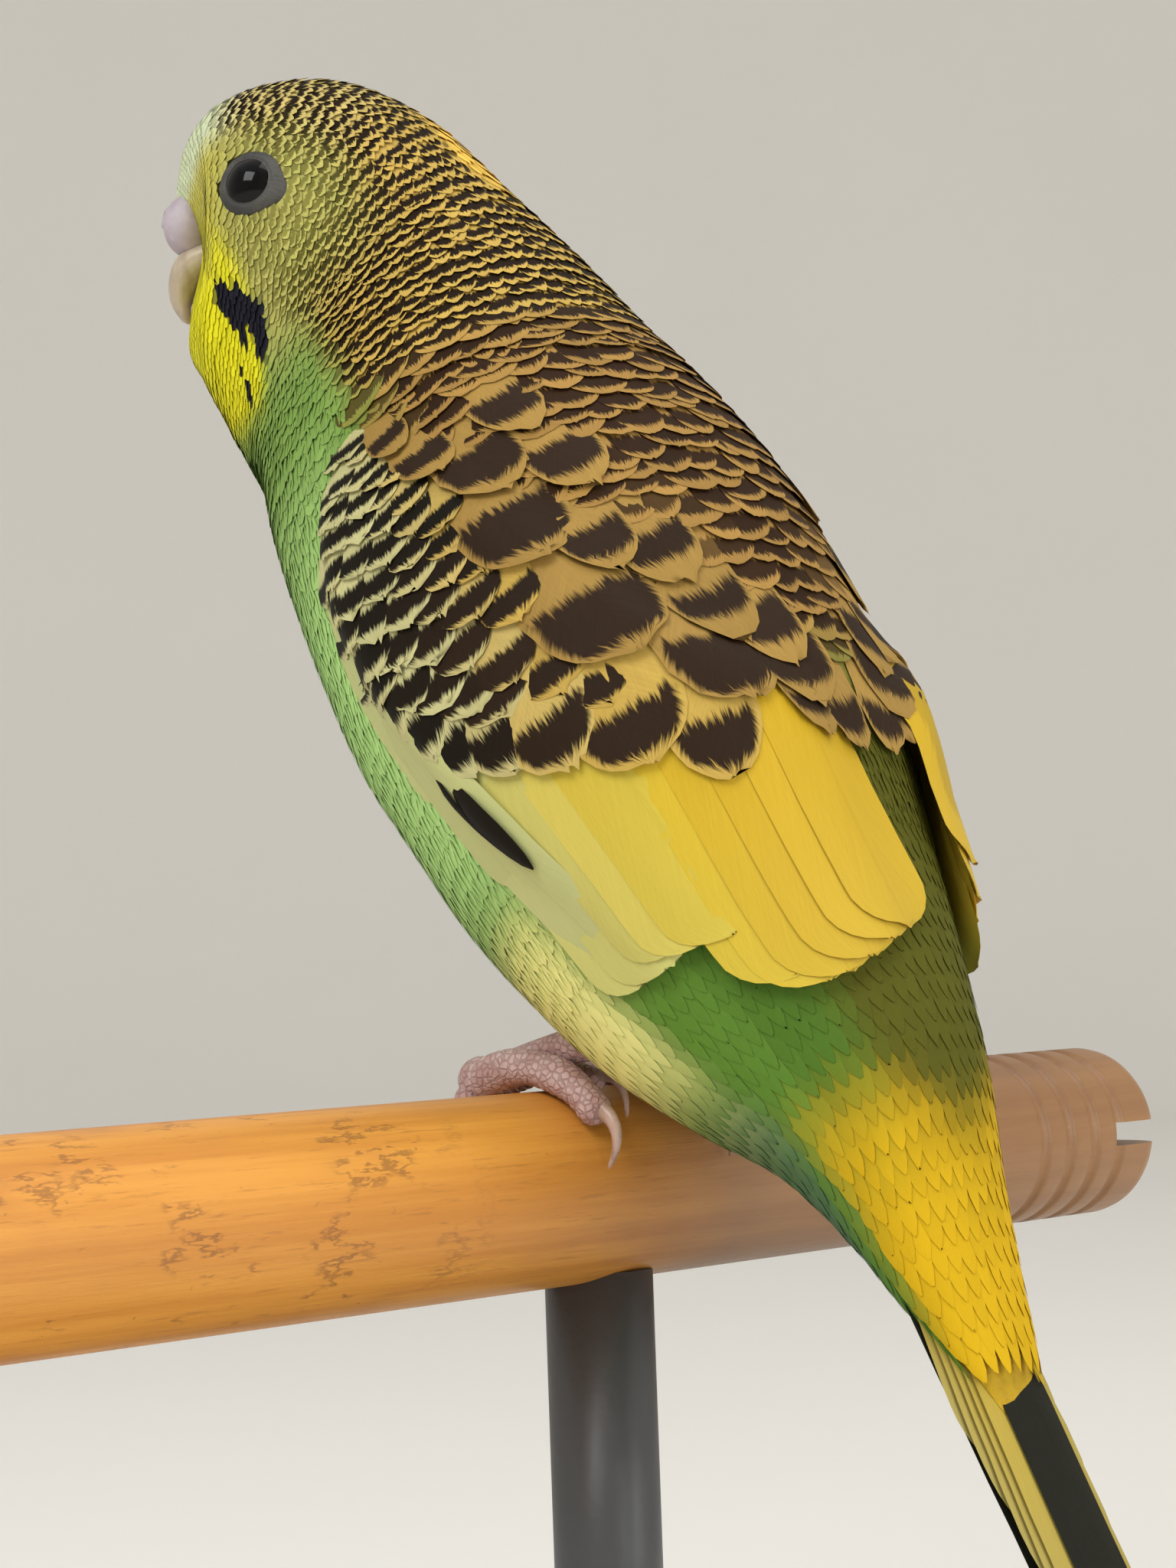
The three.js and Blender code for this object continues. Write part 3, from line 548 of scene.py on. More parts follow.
@dataclass(frozen=True)
class DowelWood:
    """The finish of the perch: varnished amber hardwood with fine grain, pores and burr marks, and painted
    shade over its right part.
    """

    name: str = "perch_dowel_wood"

    def build(self) -> bpy.types.Material:
        """Makes the material, with the grain along X."""
        board = Board(self.name)
        place = board.place()
        along, _, _ = board.parts(place)
        warp = board.noise(place, 60.0, 2.0)
        grain = board.noise(board.stretched(place, (16.0, 480.0, 480.0)), 1.0, 5.0, 0.6)
        pores = board.noise(board.stretched(place, (160.0, 2600.0, 2600.0)), 1.0, 3.0, 0.7)
        patches = board.noise(board.stretched(place, (40.0, 90.0, 90.0)), 1.0, 3.0, 0.6)
        specks = board.noise(place, 760.0, 3.0, 0.7)
        figure = board.noise(board.stretched(place, (70.0, 260.0, 260.0)), 1.0, 5.0, 0.68)
        burr = along.smooth(0.016, 0.03) * board.noise(place, 130.0, 3.0, 0.6).smooth(0.5, 0.6)
        cracks = abs(figure - 0.5).smooth(0.03, 0.004) * burr
        colour = board.mix(grain.smooth(0.34, 0.66), srgb(226, 156, 64), srgb(206, 134, 48))
        colour = board.mix(patches.smooth(0.5, 0.72) * 0.5, colour, srgb(176, 112, 58))
        colour = board.mix(cracks * 0.55, colour, srgb(112, 66, 32))
        colour = board.mix(pores.smooth(0.58, 0.7) * 0.3, colour, srgb(140, 84, 40))
        colour = board.mix(specks.smooth(0.68, 0.76) * 0.5, colour, srgb(98, 58, 30))
        # Painted shade: towards its right end the perch turns browner and greyer, with the shade that falls
        # there painted into the wood's colour.
        wear_and_painted_shade = along.smooth(0.006, -0.012) * 0.85
        colour = board.mix(wear_and_painted_shade, colour, board.mix(grain, srgb(150, 112, 78), srgb(124, 90, 62)))
        board.set(Base_Color=colour, Roughness=0.4 + pores * 0.22 + warp * 0.08,
                  Coat_Weight=0.25, Coat_Roughness=0.3,
                  Normal=board.bump(pores * 0.6 + grain * 0.4, 0.00008))
        return board.material


@dataclass(frozen=True)
class SatinPaint:
    """The finish of the stand: dark satin paint on metal, rubbed a little along its edges."""

    name: str = "stand_satin_paint"

    def build(self) -> bpy.types.Material:
        """Makes the material."""
        board = Board(self.name)
        place = board.place()
        peel = board.noise(place, 700.0, 2.0)
        cloud = board.noise(place, 45.0, 3.0)
        edge = board.node("ShaderNodeNewGeometry", {}, {}, "Pointiness")
        wear_and_painted_shade = (edge + (cloud - 0.5) * 0.05).smooth(0.53, 0.6)
        colour = board.mix(cloud, srgb(52, 53, 56), srgb(64, 65, 68))
        colour = board.mix(wear_and_painted_shade * 0.5, colour, srgb(120, 120, 122))
        board.set(Base_Color=colour, Roughness=0.36 + cloud * 0.12, Metallic=0.35,
                  Normal=board.bump(peel, 0.00005))
        return board.material


@dataclass(frozen=True)
class Backdrop:
    """The finish of the studio floor and wall: one plain pale tone."""

    name: str = "studio_backdrop"

    def build(self) -> bpy.types.Material:
        """Makes the material."""
        board = Board(self.name)
        cloud = board.noise(board.place(), 6.0, 2.0)
        board.set(Base_Color=board.mix(cloud, srgb(236, 234, 229), srgb(240, 238, 233)), Roughness=0.9)
        return board.material


# Making meshes


class Layer(Enum):
    """What a mesh's attribute holds for each point: its type and its values' name."""

    COLOUR = ("FLOAT_COLOR", "color")
    VECTOR = ("FLOAT_VECTOR", "vector")
    NUMBER = ("FLOAT", "value")

    def write(self, data: bpy.types.Mesh, name: str, values: np.ndarray) -> None:
        """Adds the attribute to a mesh, with a row of values for each point."""
        kind, key = self.value
        if self is Layer.COLOUR:
            values = np.hstack([values, np.ones((len(values), 1))])
        made = data.attributes.new(name, kind, "POINT")
        made.data.foreach_set(key, values.astype(np.float32).ravel())


def put(name: str, data: bpy.types.ID) -> bpy.types.Object:
    """Puts a new object in the scene."""
    made = bpy.data.objects.new(name, data)
    bpy.context.scene.collection.objects.link(made)
    return made


def finish_piece(mesh: bmesh.types.BMesh, name: str, material: bpy.types.Material,
                 nodes: Iterable[str] = ()) -> bpy.types.Object:
    """Turns a bmesh in metres into a piece that rides on the part.

    Args:
        mesh: the shape, which is freed.
        name: the piece's name.
        material: its finish.
        nodes: CAD nodes that it stands for.

    Returns:
        The piece.
    """
    bmesh.ops.recalc_face_normals(mesh, faces=mesh.faces)
    for face in mesh.faces:
        face.smooth = True
    data = bpy.data.meshes.new(name)
    mesh.to_mesh(data)
    mesh.free()
    return add_piece(data, name, material, nodes)


def add_piece(data: bpy.types.Mesh, name: str, material: bpy.types.Material,
              nodes: Iterable[str] = ()) -> bpy.types.Object:
    """Puts a mesh in the scene as a piece that rides on the part."""
    data.materials.append(material)
    piece = put(name, data)
    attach(piece, "root")
    if nodes:
        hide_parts(*nodes)
    log.info("%s: %d faces", name, len(data.polygons))
    return piece


def tube(mesh: bmesh.types.BMesh, around: int, along: int,
         place: Callable[[np.ndarray, np.ndarray], np.ndarray]) -> None:
    """Adds a closed tube, from a grid whose points are moved to their places.

    Args:
        mesh: the bmesh it is added to.
        around: faces round it.
        along: faces along it.
        place: gives points in mm for turns (0 to 1) and ways along (0 to 1).
    """
    made = bmesh.ops.create_grid(mesh, x_segments=around, y_segments=along, size=1.0)["verts"]
    flat = np.array([v.co[:2] for v in made]) * 0.5 + 0.5
    points = place(flat[:, 0], flat[:, 1]) * MM
    for vertex, point in zip(made, points):
        vertex.co = point
    seam = [v for v, (turn, _) in zip(made, flat) if turn < 1e-6 or turn > 1 - 1e-6]
    bmesh.ops.remove_doubles(mesh, verts=seam, dist=1e-7)
    rim = list({e for v in made if v.is_valid for e in v.link_edges if e.is_boundary})
    bmesh.ops.holes_fill(mesh, edges=rim, sides=0)


def turned(outline: list[tuple], axis: tuple, steps: int) -> bmesh.types.BMesh:
    """A shape spun once round an axis through the origin from its outline, in metres."""
    mesh = bmesh.new()
    verts = [mesh.verts.new(point) for point in outline]
    edges = [mesh.edges.new(pair) for pair in zip(verts, verts[1:])]
    bmesh.ops.spin(mesh, geom=verts + edges, cent=(0, 0, 0), axis=axis, angle=math.tau,
                   steps=steps, use_merge=True)
    bmesh.ops.remove_doubles(mesh, verts=mesh.verts, dist=1e-6)
    return mesh


def cylinder(radius: float, bottom: float, top: float, segments: int) -> bmesh.types.BMesh:
    """An upright closed cylinder round Z, from sizes in mm."""
    mesh = bmesh.new()
    bmesh.ops.create_cone(mesh, cap_ends=True, segments=segments, radius1=radius * MM,
                          radius2=radius * MM, depth=(top - bottom) * MM)
    bmesh.ops.translate(mesh, vec=(0, 0, (top + bottom) / 2 * MM), verts=mesh.verts)
    return mesh


@dataclass
class Limb:
    """A round limb through a few stations, with a width and a depth at each."""

    points: np.ndarray
    wide: np.ndarray
    deep: np.ndarray
    across: np.ndarray
    around: int = 20
    along: int = 40
    ridges: float = 0.0
    ridge_count: float = 0.0

    STEP = 0.004
    TUCKED = 0.06
    END_WIDTH = 0.25

    def place(self, turn: np.ndarray, way: np.ndarray) -> np.ndarray:
        """Points of the limb's skin for turns round it and ways along it."""
        at = self.curve(self.points, way)
        ahead = self.curve(self.points, np.minimum(way + self.STEP, 1.0))
        behind = self.curve(self.points, np.maximum(way - self.STEP, 0.0))
        along = ahead - behind
        along /= np.linalg.norm(along, axis=-1, keepdims=True)
        across = self.across - along * (along @ self.across)[:, None]
        across /= np.linalg.norm(across, axis=-1, keepdims=True)
        up = np.cross(along, across)
        end = np.minimum(way, 1 - way)
        tuck = np.sqrt(np.clip(end / self.TUCKED, 0.0, 1.0)) * (1 - self.END_WIDTH) + self.END_WIDTH
        ridge = self.ridges * np.abs(np.sin(way * math.pi * self.ridge_count))
        swell = 1 + ridge * (np.sin(turn * math.tau) > -0.2)
        wide = self.curve(self.wide[:, None], way)[:, 0] * tuck * swell
        deep = self.curve(self.deep[:, None], way)[:, 0] * tuck * swell
        cos, sin = np.cos(turn * math.tau), np.sin(turn * math.tau)
        return at + across * (cos * wide)[:, None] + up * (sin * deep)[:, None]

    @staticmethod
    def curve(values: np.ndarray, way: np.ndarray) -> np.ndarray:
        """A smooth curve through values at equal steps, for ways from 0 to 1."""
        last = len(values) - 1
        x = np.clip(way, 0.0, 1.0) * last
        i = np.minimum(x.astype(int), last - 1)
        t = (x - i)[:, None]
        padded = np.vstack([2 * values[0] - values[1], values, 2 * values[-1] - values[-2]])
        before, low, high, after = (padded[i + k] for k in range(4))
        return 0.5 * (2 * low + (high - before) * t + (2 * before - 5 * low + 4 * high - after) * t ** 2
                      + (3 * low - before - 3 * high + after) * t ** 3)

    def add_to(self, mesh: bmesh.types.BMesh) -> None:
        """Adds the limb to a bmesh."""
        tube(mesh, self.around, self.along, self.place)


# Feathers


@dataclass
class Vanes:
    """A set of feathers: where each one's root and tip lie on its surface, and its looks."""

    root: np.ndarray
    tip: np.ndarray
    width: np.ndarray
    lift: tuple = (-0.6, 0.4)
    tilt: float = 0.0
    camber: float = 0.12
    ragged: float = 0.08
    rise: float = 1.0
    rows_lift: np.ndarray | None = None
    ground: np.ndarray = field(default_factory=lambda: np.zeros((0, 3)))
    ground_tip: np.ndarray | None = None
    mark: np.ndarray = field(default_factory=lambda: np.zeros((0, 3)))
    strength: np.ndarray = field(default_factory=lambda: np.zeros(0))
    band: np.ndarray = field(default_factory=lambda: np.zeros((0, 3)))

    def keep(self, chosen: np.ndarray) -> "Vanes":
        """The same set with only the chosen feathers."""
        parts = {name: value[chosen] for name, value in vars(self).items() if isinstance(value, np.ndarray)}
        return replace(self, **parts)

    @classmethod
    def plain(cls, root: np.ndarray, tip: np.ndarray, width: np.ndarray, colour: np.ndarray,
              **shape: "float | tuple | np.ndarray") -> "Vanes":
        """A set of feathers without marks, with a colour for each."""
        count = len(root)
        return cls(root, tip, width, ground=colour, mark=colour, strength=np.zeros(count),
                   band=np.tile([0.5, 0.2, 0.6], (count, 1)), **shape)


class Featherer:
    """Builds sets of vanes as joined meshes with their colours and UV maps."""

    PATCH = 0.003
    MARGIN = 0.02
    INSIDE = -3.0

    def __init__(self, form: "CoatSurface | WingSurface | TailPlane", seed: int) -> None:
        """Keeps the surface that the feathers lie on."""
        self.form = form
        self.random = np.random.default_rng(seed)

    def template(self, kind: VaneKind) -> tuple[np.ndarray, np.ndarray, list[list[int]]]:
        """The vane's places across (-1 to 1) and along (0 to 1), and its closed faces."""
        across = np.linspace(-1, 1, kind.columns)
        along = kind.along
        u = np.tile(across, kind.rows)
        v = np.repeat(along, kind.columns)
        faces = []
        for r in range(kind.rows - 1):
            base = r * kind.columns
            for c in range(kind.columns - 1):
                a = base + c
                faces.append([a, a + 1, a + 1 + kind.columns, a + kind.columns])
            left, right = base, base + kind.columns - 1
            faces.append([right, left, left + kind.columns, right + kind.columns])
        faces.append(list(range(kind.columns - 1, -1, -1)))
        last = (kind.rows - 1) * kind.columns
        faces.append([last + c for c in range(kind.columns)])
        return u, v, faces

    def points(self, vanes: Vanes, kind: VaneKind, u: np.ndarray, v: np.ndarray) -> np.ndarray:
        """Every vane's points, in mm."""
        count = len(vanes.root)
        rows, columns = kind.rows, kind.columns
        uu = np.broadcast_to(u.reshape(rows, columns), (count, rows, columns))
        vv = np.broadcast_to(v.reshape(rows, columns), (count, rows, columns)).copy()
        ragged = self.random.normal(0, vanes.ragged, (count, rows, columns))
        vv[:, -1, :] += ragged[:, -1, :]
        vv[:, -2, :] += ragged[:, -2, :] * 0.4
        wide = vanes.width[:, None, None] * 0.5 * kind.outline[None, :, None]
        wide = wide * (1 + ragged * 0.7 * (np.abs(uu) > 0.9))
        centre = vanes.root[:, None, None, :] + (vanes.tip - vanes.root)[:, None, None, :] * vv[..., None]
        step_s, step_a = self.form.spans(centre[:, :, 0, 0], centre[:, :, 0, 1])
        run_s = (vanes.tip[:, 0] - vanes.root[:, 0])[:, None] * step_s
        run_a = (vanes.tip[:, 1] - vanes.root[:, 1])[:, None] * step_a
        length = np.hypot(run_s, run_a) + 1e-9
        side = uu * wide
        s = centre[..., 0] - side * (run_a / length / step_s)[..., None]
        a = centre[..., 1] + side * (run_s / length / step_a)[..., None]
        share = np.clip(vv / vanes.rise, 0, 1)
        low, high = vanes.lift
        lift = low + (high - low) * share
        if vanes.rows_lift is not None:
            lift = lift + vanes.rows_lift[:, None, None] * share
        lift = lift + vanes.camber * (1 - uu ** 2) * (1 - 0.5 * vv) + vanes.tilt * uu * share
        return self.form.place(s, a, lift)

    def build(self, name: str, vanes: Vanes, kind: VaneKind, material: bpy.types.Material,
              slot: str, nodes: Iterable[str] = ()) -> bpy.types.Object:
        """Makes one piece of all the vanes in a set.

        Args:
            name: the piece's name.
            vanes: the feathers.
            kind: their shape.
            material: their finish.
            slot: not used.
            nodes: CAD nodes that the piece stands for.

        Returns:
            The piece.
        """
        u, v, faces = self.template(kind)
        count, each = len(vanes.root), len(u)
        points = self.points(vanes, kind, u, v).reshape(count, each, 3)
        a, b, c = points[0][faces[0][0]], points[0][faces[0][1]], points[0][faces[0][-1]]
        core = self.form.place(*vanes.root[0], self.INSIDE)
        if np.dot(np.cross(b - a, c - a), a - core) < 0:
            faces = [face[::-1] for face in faces]
        sizes = np.tile([len(face) for face in faces], count)
        corners = np.concatenate([np.array(face) for face in faces])
        corners = (np.arange(count)[:, None] * each + corners[None, :]).ravel()
        data = bpy.data.meshes.new(name)
        data.vertices.add(count * each)
        data.vertices.foreach_set("co", (points * MM).astype(np.float32).ravel())
        data.loops.add(len(corners))
        data.loops.foreach_set("vertex_index", corners.astype(np.int32))
        data.polygons.add(len(sizes))
        starts = np.concatenate([[0], np.cumsum(sizes)[:-1]])
        data.polygons.foreach_set("loop_start", starts.astype(np.int32))
        data.polygons.foreach_set("use_smooth", np.ones(len(sizes), bool))
        data.update(calc_edges=True)
        self.sharpen_rims(data, u, v, count)
        self.colour(data, vanes, v, count, each)
        self.unwrap(data, vanes, u, v, corners, count)
        return add_piece(data, name, material, nodes)

    def sharpen_rims(self, data: bpy.types.Mesh, u: np.ndarray, v: np.ndarray, count: int) -> None:
        """Marks the vanes' rims sharp, so that the thin edge isn't shaded round."""
        rim = np.tile((np.abs(u) > 0.99) | (v < 1e-6) | (v > 1 - 1e-6), count)
        ends = np.empty(len(data.edges) * 2, np.int32)
        data.edges.foreach_get("vertices", ends)
        sharp = data.attributes.new("sharp_edge", "BOOLEAN", "EDGE")
        sharp.data.foreach_set("value", (rim[ends[::2]] & rim[ends[1::2]]))

    def colour(self, data: bpy.types.Mesh, vanes: Vanes, v: np.ndarray, count: int, each: int) -> None:
        """Writes the feathers' colours and marks as attributes of their points."""
        tip = vanes.ground if vanes.ground_tip is None else vanes.ground_tip
        share = v[None, :, None]
        ground = vanes.ground[:, None, :] * (1 - share) + tip[:, None, :] * share
        Layer.COLOUR.write(data, "ground", ground.reshape(-1, 3))
        Layer.COLOUR.write(data, "mark", np.repeat(vanes.mark, each, 0))
        Layer.VECTOR.write(data, "band", np.repeat(vanes.band, each, 0))
        Layer.NUMBER.write(data, "strength", np.repeat(vanes.strength, each))
        Layer.NUMBER.write(data, "tone", np.repeat(self.random.random(count), each))

    def unwrap(self, data: bpy.types.Mesh, vanes: Vanes, u: np.ndarray, v: np.ndarray,
               corners: np.ndarray, count: int) -> None:
        """Adds the vane's own UV map, and the map of small patches at the feathers' roots."""
        vane = np.stack([np.tile(u * 0.5 + 0.5, count), np.tile(v, count)], 1)
        roots = self.root_map(vanes.root)
        patch = np.repeat(roots, len(u), 0) + (vane - 0.5) * self.PATCH
        for name, values in (("Vane", vane), ("OFBake", patch)):
            layer = data.uv_layers.new(name=name)
            layer.data.foreach_set("uv", values[corners].astype(np.float32).ravel())

    def root_map(self, root: np.ndarray) -> np.ndarray:
        """Where each root lies on an unwrap of the skin's own shape, inside its margin."""
        if isinstance(self.form, TailPlane):
            across = 0.5 + root[:, 1] / TailPlane.MAP_WIDTH
            return np.stack([across, 0.1 + (root[:, 0] + TailPlane.MAP_START) / TailPlane.MAP_LENGTH], 1)
        way = (root[:, 0] - BodyForm.FIRST) / (BodyForm.LAST - BodyForm.FIRST)
        turn = (root[:, 1] + 180.0) / 360.0
        flat = np.stack([turn % 1.0, np.clip(way, 0, 1)], 1)
        return self.MARGIN + (1 - 2 * self.MARGIN) * flat


# Markings


class Markings:
    """The bird's colours over its body, for coat and skin alike."""

    FOREHEAD = srgb(212, 222, 184)
    FACE = srgb(200, 192, 88)
    LORE = srgb(206, 198, 66)
    THROAT = srgb(230, 224, 38)
    CHEEK = srgb(30, 30, 40)
    CROWN = srgb(198, 178, 108)
    EAR = srgb(182, 178, 98)
    NAPE = srgb(194, 162, 80)
    SPOT = srgb(236, 194, 84)
    BAR = srgb(30, 18, 4)
    SOFT_BAR = srgb(106, 102, 38)
    BREAST = srgb(124, 158, 76)
    BELLY = srgb(172, 212, 130)
    VENT = srgb(238, 238, 152)
    # The flank's green as it looks in the shade behind the wing tips: a real green, darkened by painted
    # shade.
    SHADED_FLANK = srgb(94, 134, 50)
    RUMP = srgb(86, 86, 26)
    DEEP = srgb(66, 98, 30)
    YELLOW = srgb(208, 168, 24)
    UNDERTAIL = srgb(84, 116, 82)
    MANTLE = srgb(162, 126, 66)
    BROWN = srgb(46, 28, 12)
    PATCHES = (
        # s and angle of one end and of the other, radius
        (-18.8, 112.6, -9.4, 105.0, 1.15), (-14.0, 110.0, -11.2, 114.6, 0.6),
        (-9.6, 104.6, -6.4, 107.0, 0.95), (-11.4, 121.8, -10.4, 122.6, 0.22),
        (-7.4, 123.0, -5.8, 124.6, 0.42),
    )
    CHEEK_SCALE = (0.36, 0.24)

    def ground(self, s: np.ndarray, angle: np.ndarray) -> np.ndarray:
        """The ground colour at places on the body, each area laid over those before it.

        Args:
            s: places along the body, in mm.
            angle: degrees round it.

        Returns:
            A colour for each place.
        """
        turn = np.abs(angle)
        yellow = 85.0 + 4.5 * np.exp(-(turn / 30) ** 2)
        under = 90 + 44 * ramp(s, 82, 106)
        nape = 96 - 1.2 * np.clip(s + 3, 0, 18)
        throat = 101 + 0.9 * np.clip(s + 12, -12, 14)
        layers = (
            (self.DEEP, ramp(s, 64, 70) * ramp(turn, 84, 66) * 0.6),
            (self.BELLY, ramp(s, 64, 50) * ramp(turn, 74, 96)),
            (self.BREAST, ramp(s, 30, 8) * ramp(turn, 64, 84)),
            (self.VENT, ramp(turn, 94, 110) * ramp(s, 55, 61) * ramp(s, 80, 71)),
            (self.RUMP, ramp(turn, 58, 30) * ramp(s, 50, 57)),
            (self.YELLOW, ramp(s, yellow - 3.5, yellow + 4) * ramp(turn, 106, 84)),
            (self.UNDERTAIL, ramp(turn, under, under + 20) * ramp(s, 76, 84) * ramp(s, 104, 96)),
            (self.MANTLE, ramp(turn, 80, 60) * ramp(s, 56, 48) * ramp(s, 4, 14)),
            (self.NAPE, ramp(turn, nape + 4, nape - 14) * ramp(s, 16, 12)),
            (self.CROWN, ramp(turn, 98, 80) * ramp(s, -5, -12)),
            (self.EAR, ramp(turn, 40, 66) * ramp(turn, 116, 98) * ramp(s, 5, -7)),
            (self.THROAT, ramp(turn, throat - 4, throat + 9) * ramp(s + 0.28 * (turn - 112), 4, -3)),
            (self.FACE, ramp(s, -21, -26) * ramp(turn, 30, 56)),
            (self.LORE, ramp(s, -22, -27) * ramp(turn, 74, 96)),
            (self.THROAT, ramp(s, -17, -22) * ramp(turn, 102, 118)),
            (self.FOREHEAD, ramp(s, -20, -26) * ramp(turn, 66, 42)),
            (self.SPOT, ramp(self.spot(s, angle), 1.15, 0.75)),
        )
        # The coat starts from the flank's green darkened by painted shade, which shows behind the wing tips
        # where no other area lies over it.
        colour = self.SHADED_FLANK
        for top, share in layers:
            colour = blend(colour, top, share)
        return colour

    @staticmethod
    def spot(s: np.ndarray, angle: np.ndarray) -> np.ndarray:
        """How far places lie from the yellow patch on the nape, 1 at its edge."""
        return np.hypot((s + 3.8) / 4.4, (angle + 5) / 17.0)

    def mark(self, s: np.ndarray, angle: np.ndarray) -> np.ndarray:
        """The colour of the marks at places on the body."""
        colour = blend(self.BAR, self.SOFT_BAR, ramp(np.abs(angle), 44, 74) * ramp(s, 2, -9))
        return blend(colour, self.BROWN, ramp(s, 10, 18))

    def strength(self, s: np.ndarray, angle: np.ndarray) -> np.ndarray:
        """How strong the marks are at places on the body."""
        turn = np.abs(angle)
        edge = 100 - 1.15 * np.clip(s + 8, 0, 24)
        barred = ramp(turn, edge + 5, edge - 6) * ramp(s, 18, 14) * ramp(s, -25.5, -22)
        ear = 1 - 0.35 * ramp(turn, 50, 74) * ramp(s, -4, -10)
        face = 1 - 0.75 * ramp(s, -17, -22) * ramp(turn, 44, 66)
        mantle = ramp(turn, 84, 60) * ramp(s, 12, 15) * ramp(s, 54, 50)
        mantle = mantle * (1 - 0.5 * np.exp(-((s - 44) / 6) ** 2 - ((turn - 24) / 9) ** 2))
        return np.maximum(barred * ear * face, mantle) * ramp(self.spot(s, angle), 0.8, 1.1)

    def cheek(self, s: np.ndarray, angle: np.ndarray) -> np.ndarray:
        """How far places lie in the dark cheek patches and the throat's small spots."""
        long, wide = self.CHEEK_SCALE
        x, y = s * long, np.abs(angle) * wide
        share = np.zeros(np.shape(s))
        for s0, angle0, s1, angle1, radius in self.PATCHES:
            ax, ay = s0 * long, angle0 * wide
            bx, by = s1 * long - ax, angle1 * wide - ay
            t = np.clip(((x - ax) * bx + (y - ay) * by) / (bx * bx + by * by), 0, 1)
            off = np.hypot(x - ax - bx * t, y - ay - by * t)
            share = np.maximum(share, ramp(off, radius * 1.15, radius * 0.85))
        return share


# The bird


@dataclass
class Eyes:
    """Both eyes and the bare rings round them."""

    s: float = -17.6
    angle: float = 76.0
    ball: float = 3.0
    opening: float = 1.9
    bulge: float = 0.42
    ring: float = 2.75
    corner: float = 0.85
    corner_span: float = 0.42
    beads: int = 44
    bead_height: float = 0.05
    bend: float = 26.0
    lid: float = 0.12
    profile: tuple = ((1.84, -0.5), (1.86, 0.1), (1.97, 0.34), (2.14, 0.3), (2.34, 0.36), (2.6, 0.26),
                      (2.84, 0.0), (3.0, -0.8))

    def frame(self, form: BodyForm, side: int) -> tuple[Vector, Vector, Vector]:
        """The rim's middle, the way the eye looks, and the ball's centre, in mm."""
        rim = Vector(form.place(self.s, side * self.angle))
        out = form.outward(self.s, side * self.angle)
        sunk = math.sqrt(self.ball ** 2 - self.opening ** 2) - self.bulge
        return rim, out, rim - out * sunk

    def axes(self, form: BodyForm, side: int) -> np.ndarray:
        """The ring's own axes: towards the rear of the head, across, and outward."""
        _, out, _ = self.frame(form, side)
        rear = Vector(form.place(self.s + 2, side * self.angle) - form.place(self.s - 2, side * self.angle))
        rear = (rear - out * rear.dot(out)).normalized()
        return np.array([rear, out.cross(rear), out])

    def corner_at(self, turn: np.ndarray) -> np.ndarray:
        """How far the ring is drawn out at turns from its rear, in mm."""
        return self.corner * np.exp(-(turn / self.corner_span) ** 2)

    def build(self, form: BodyForm) -> None:
        """Makes the eyeballs and their lids."""
        lids = WaxySkin("eye_ring_skin", (72, 70, 65), (50, 49, 47), 2600.0).build()
        for side, label in SIDES:
            _, out, centre = self.frame(form, side)
            mesh = bmesh.new()
            bmesh.ops.create_uvsphere(mesh, u_segments=64, v_segments=40, radius=self.ball)
            turn = Vector((0, 0, 1)).rotation_difference(out).to_matrix().to_4x4()
            bmesh.ops.transform(mesh, matrix=turn, verts=mesh.verts)
            bmesh.ops.translate(mesh, vec=centre, verts=mesh.verts)
            bmesh.ops.scale(mesh, vec=(MM, MM, MM), verts=mesh.verts)
            gloss = EyeGloss(f"eye_gloss_{label}", tuple(centre * MM), tuple(out)).build()
            finish_piece(mesh, f"eyeball_{label}", gloss, [f"eye_{label}"])
            self.build_ring(form, side, label, lids)

    def build_ring(self, form: BodyForm, side: int, label: str, material: bpy.types.Material) -> None:
        """Makes the ring of small beads of skin round one eye, drawn out at its rear corner."""
        rim, axes = np.array(self.frame(form, side)[0]), self.axes(form, side)
        profile = np.array(self.profile)

        def place(turn: np.ndarray, way: np.ndarray) -> np.ndarray:
            """A point of the ring for a turn round it and a way across it."""
            at = Limb.curve(profile, way)
            round_ = turn * math.tau
            beads = 1 + self.bead_height * np.sin(round_ * self.beads) * ramp(way, 0.2, 0.5)
            off_rear = (round_ + math.pi) % math.tau - math.pi
            radius = at[:, 0] + self.corner_at(off_rear) * ramp(way, 0.3, 1.0)
            height = at[:, 1] * beads - radius ** 2 / self.bend
            flat = np.stack([radius * np.cos(round_), radius * np.sin(round_), height], 1)
            return flat @ axes + rim

        mesh = bmesh.new()
        made = bmesh.ops.create_grid(mesh, x_segments=150, y_segments=24, size=1.0)["verts"]
        flat = np.array([v.co[:2] for v in made]) * 0.5 + 0.5
        for vertex, point in zip(made, place(flat[:, 0], flat[:, 1]) * MM):
            vertex.co = point
        bmesh.ops.remove_doubles(mesh, verts=mesh.verts, dist=1e-7)
        bmesh.ops.solidify(mesh, geom=mesh.faces, thickness=self.lid * MM)
        finish_piece(mesh, f"eye_ring_{label}", material, [f"eyelid_{label}"])


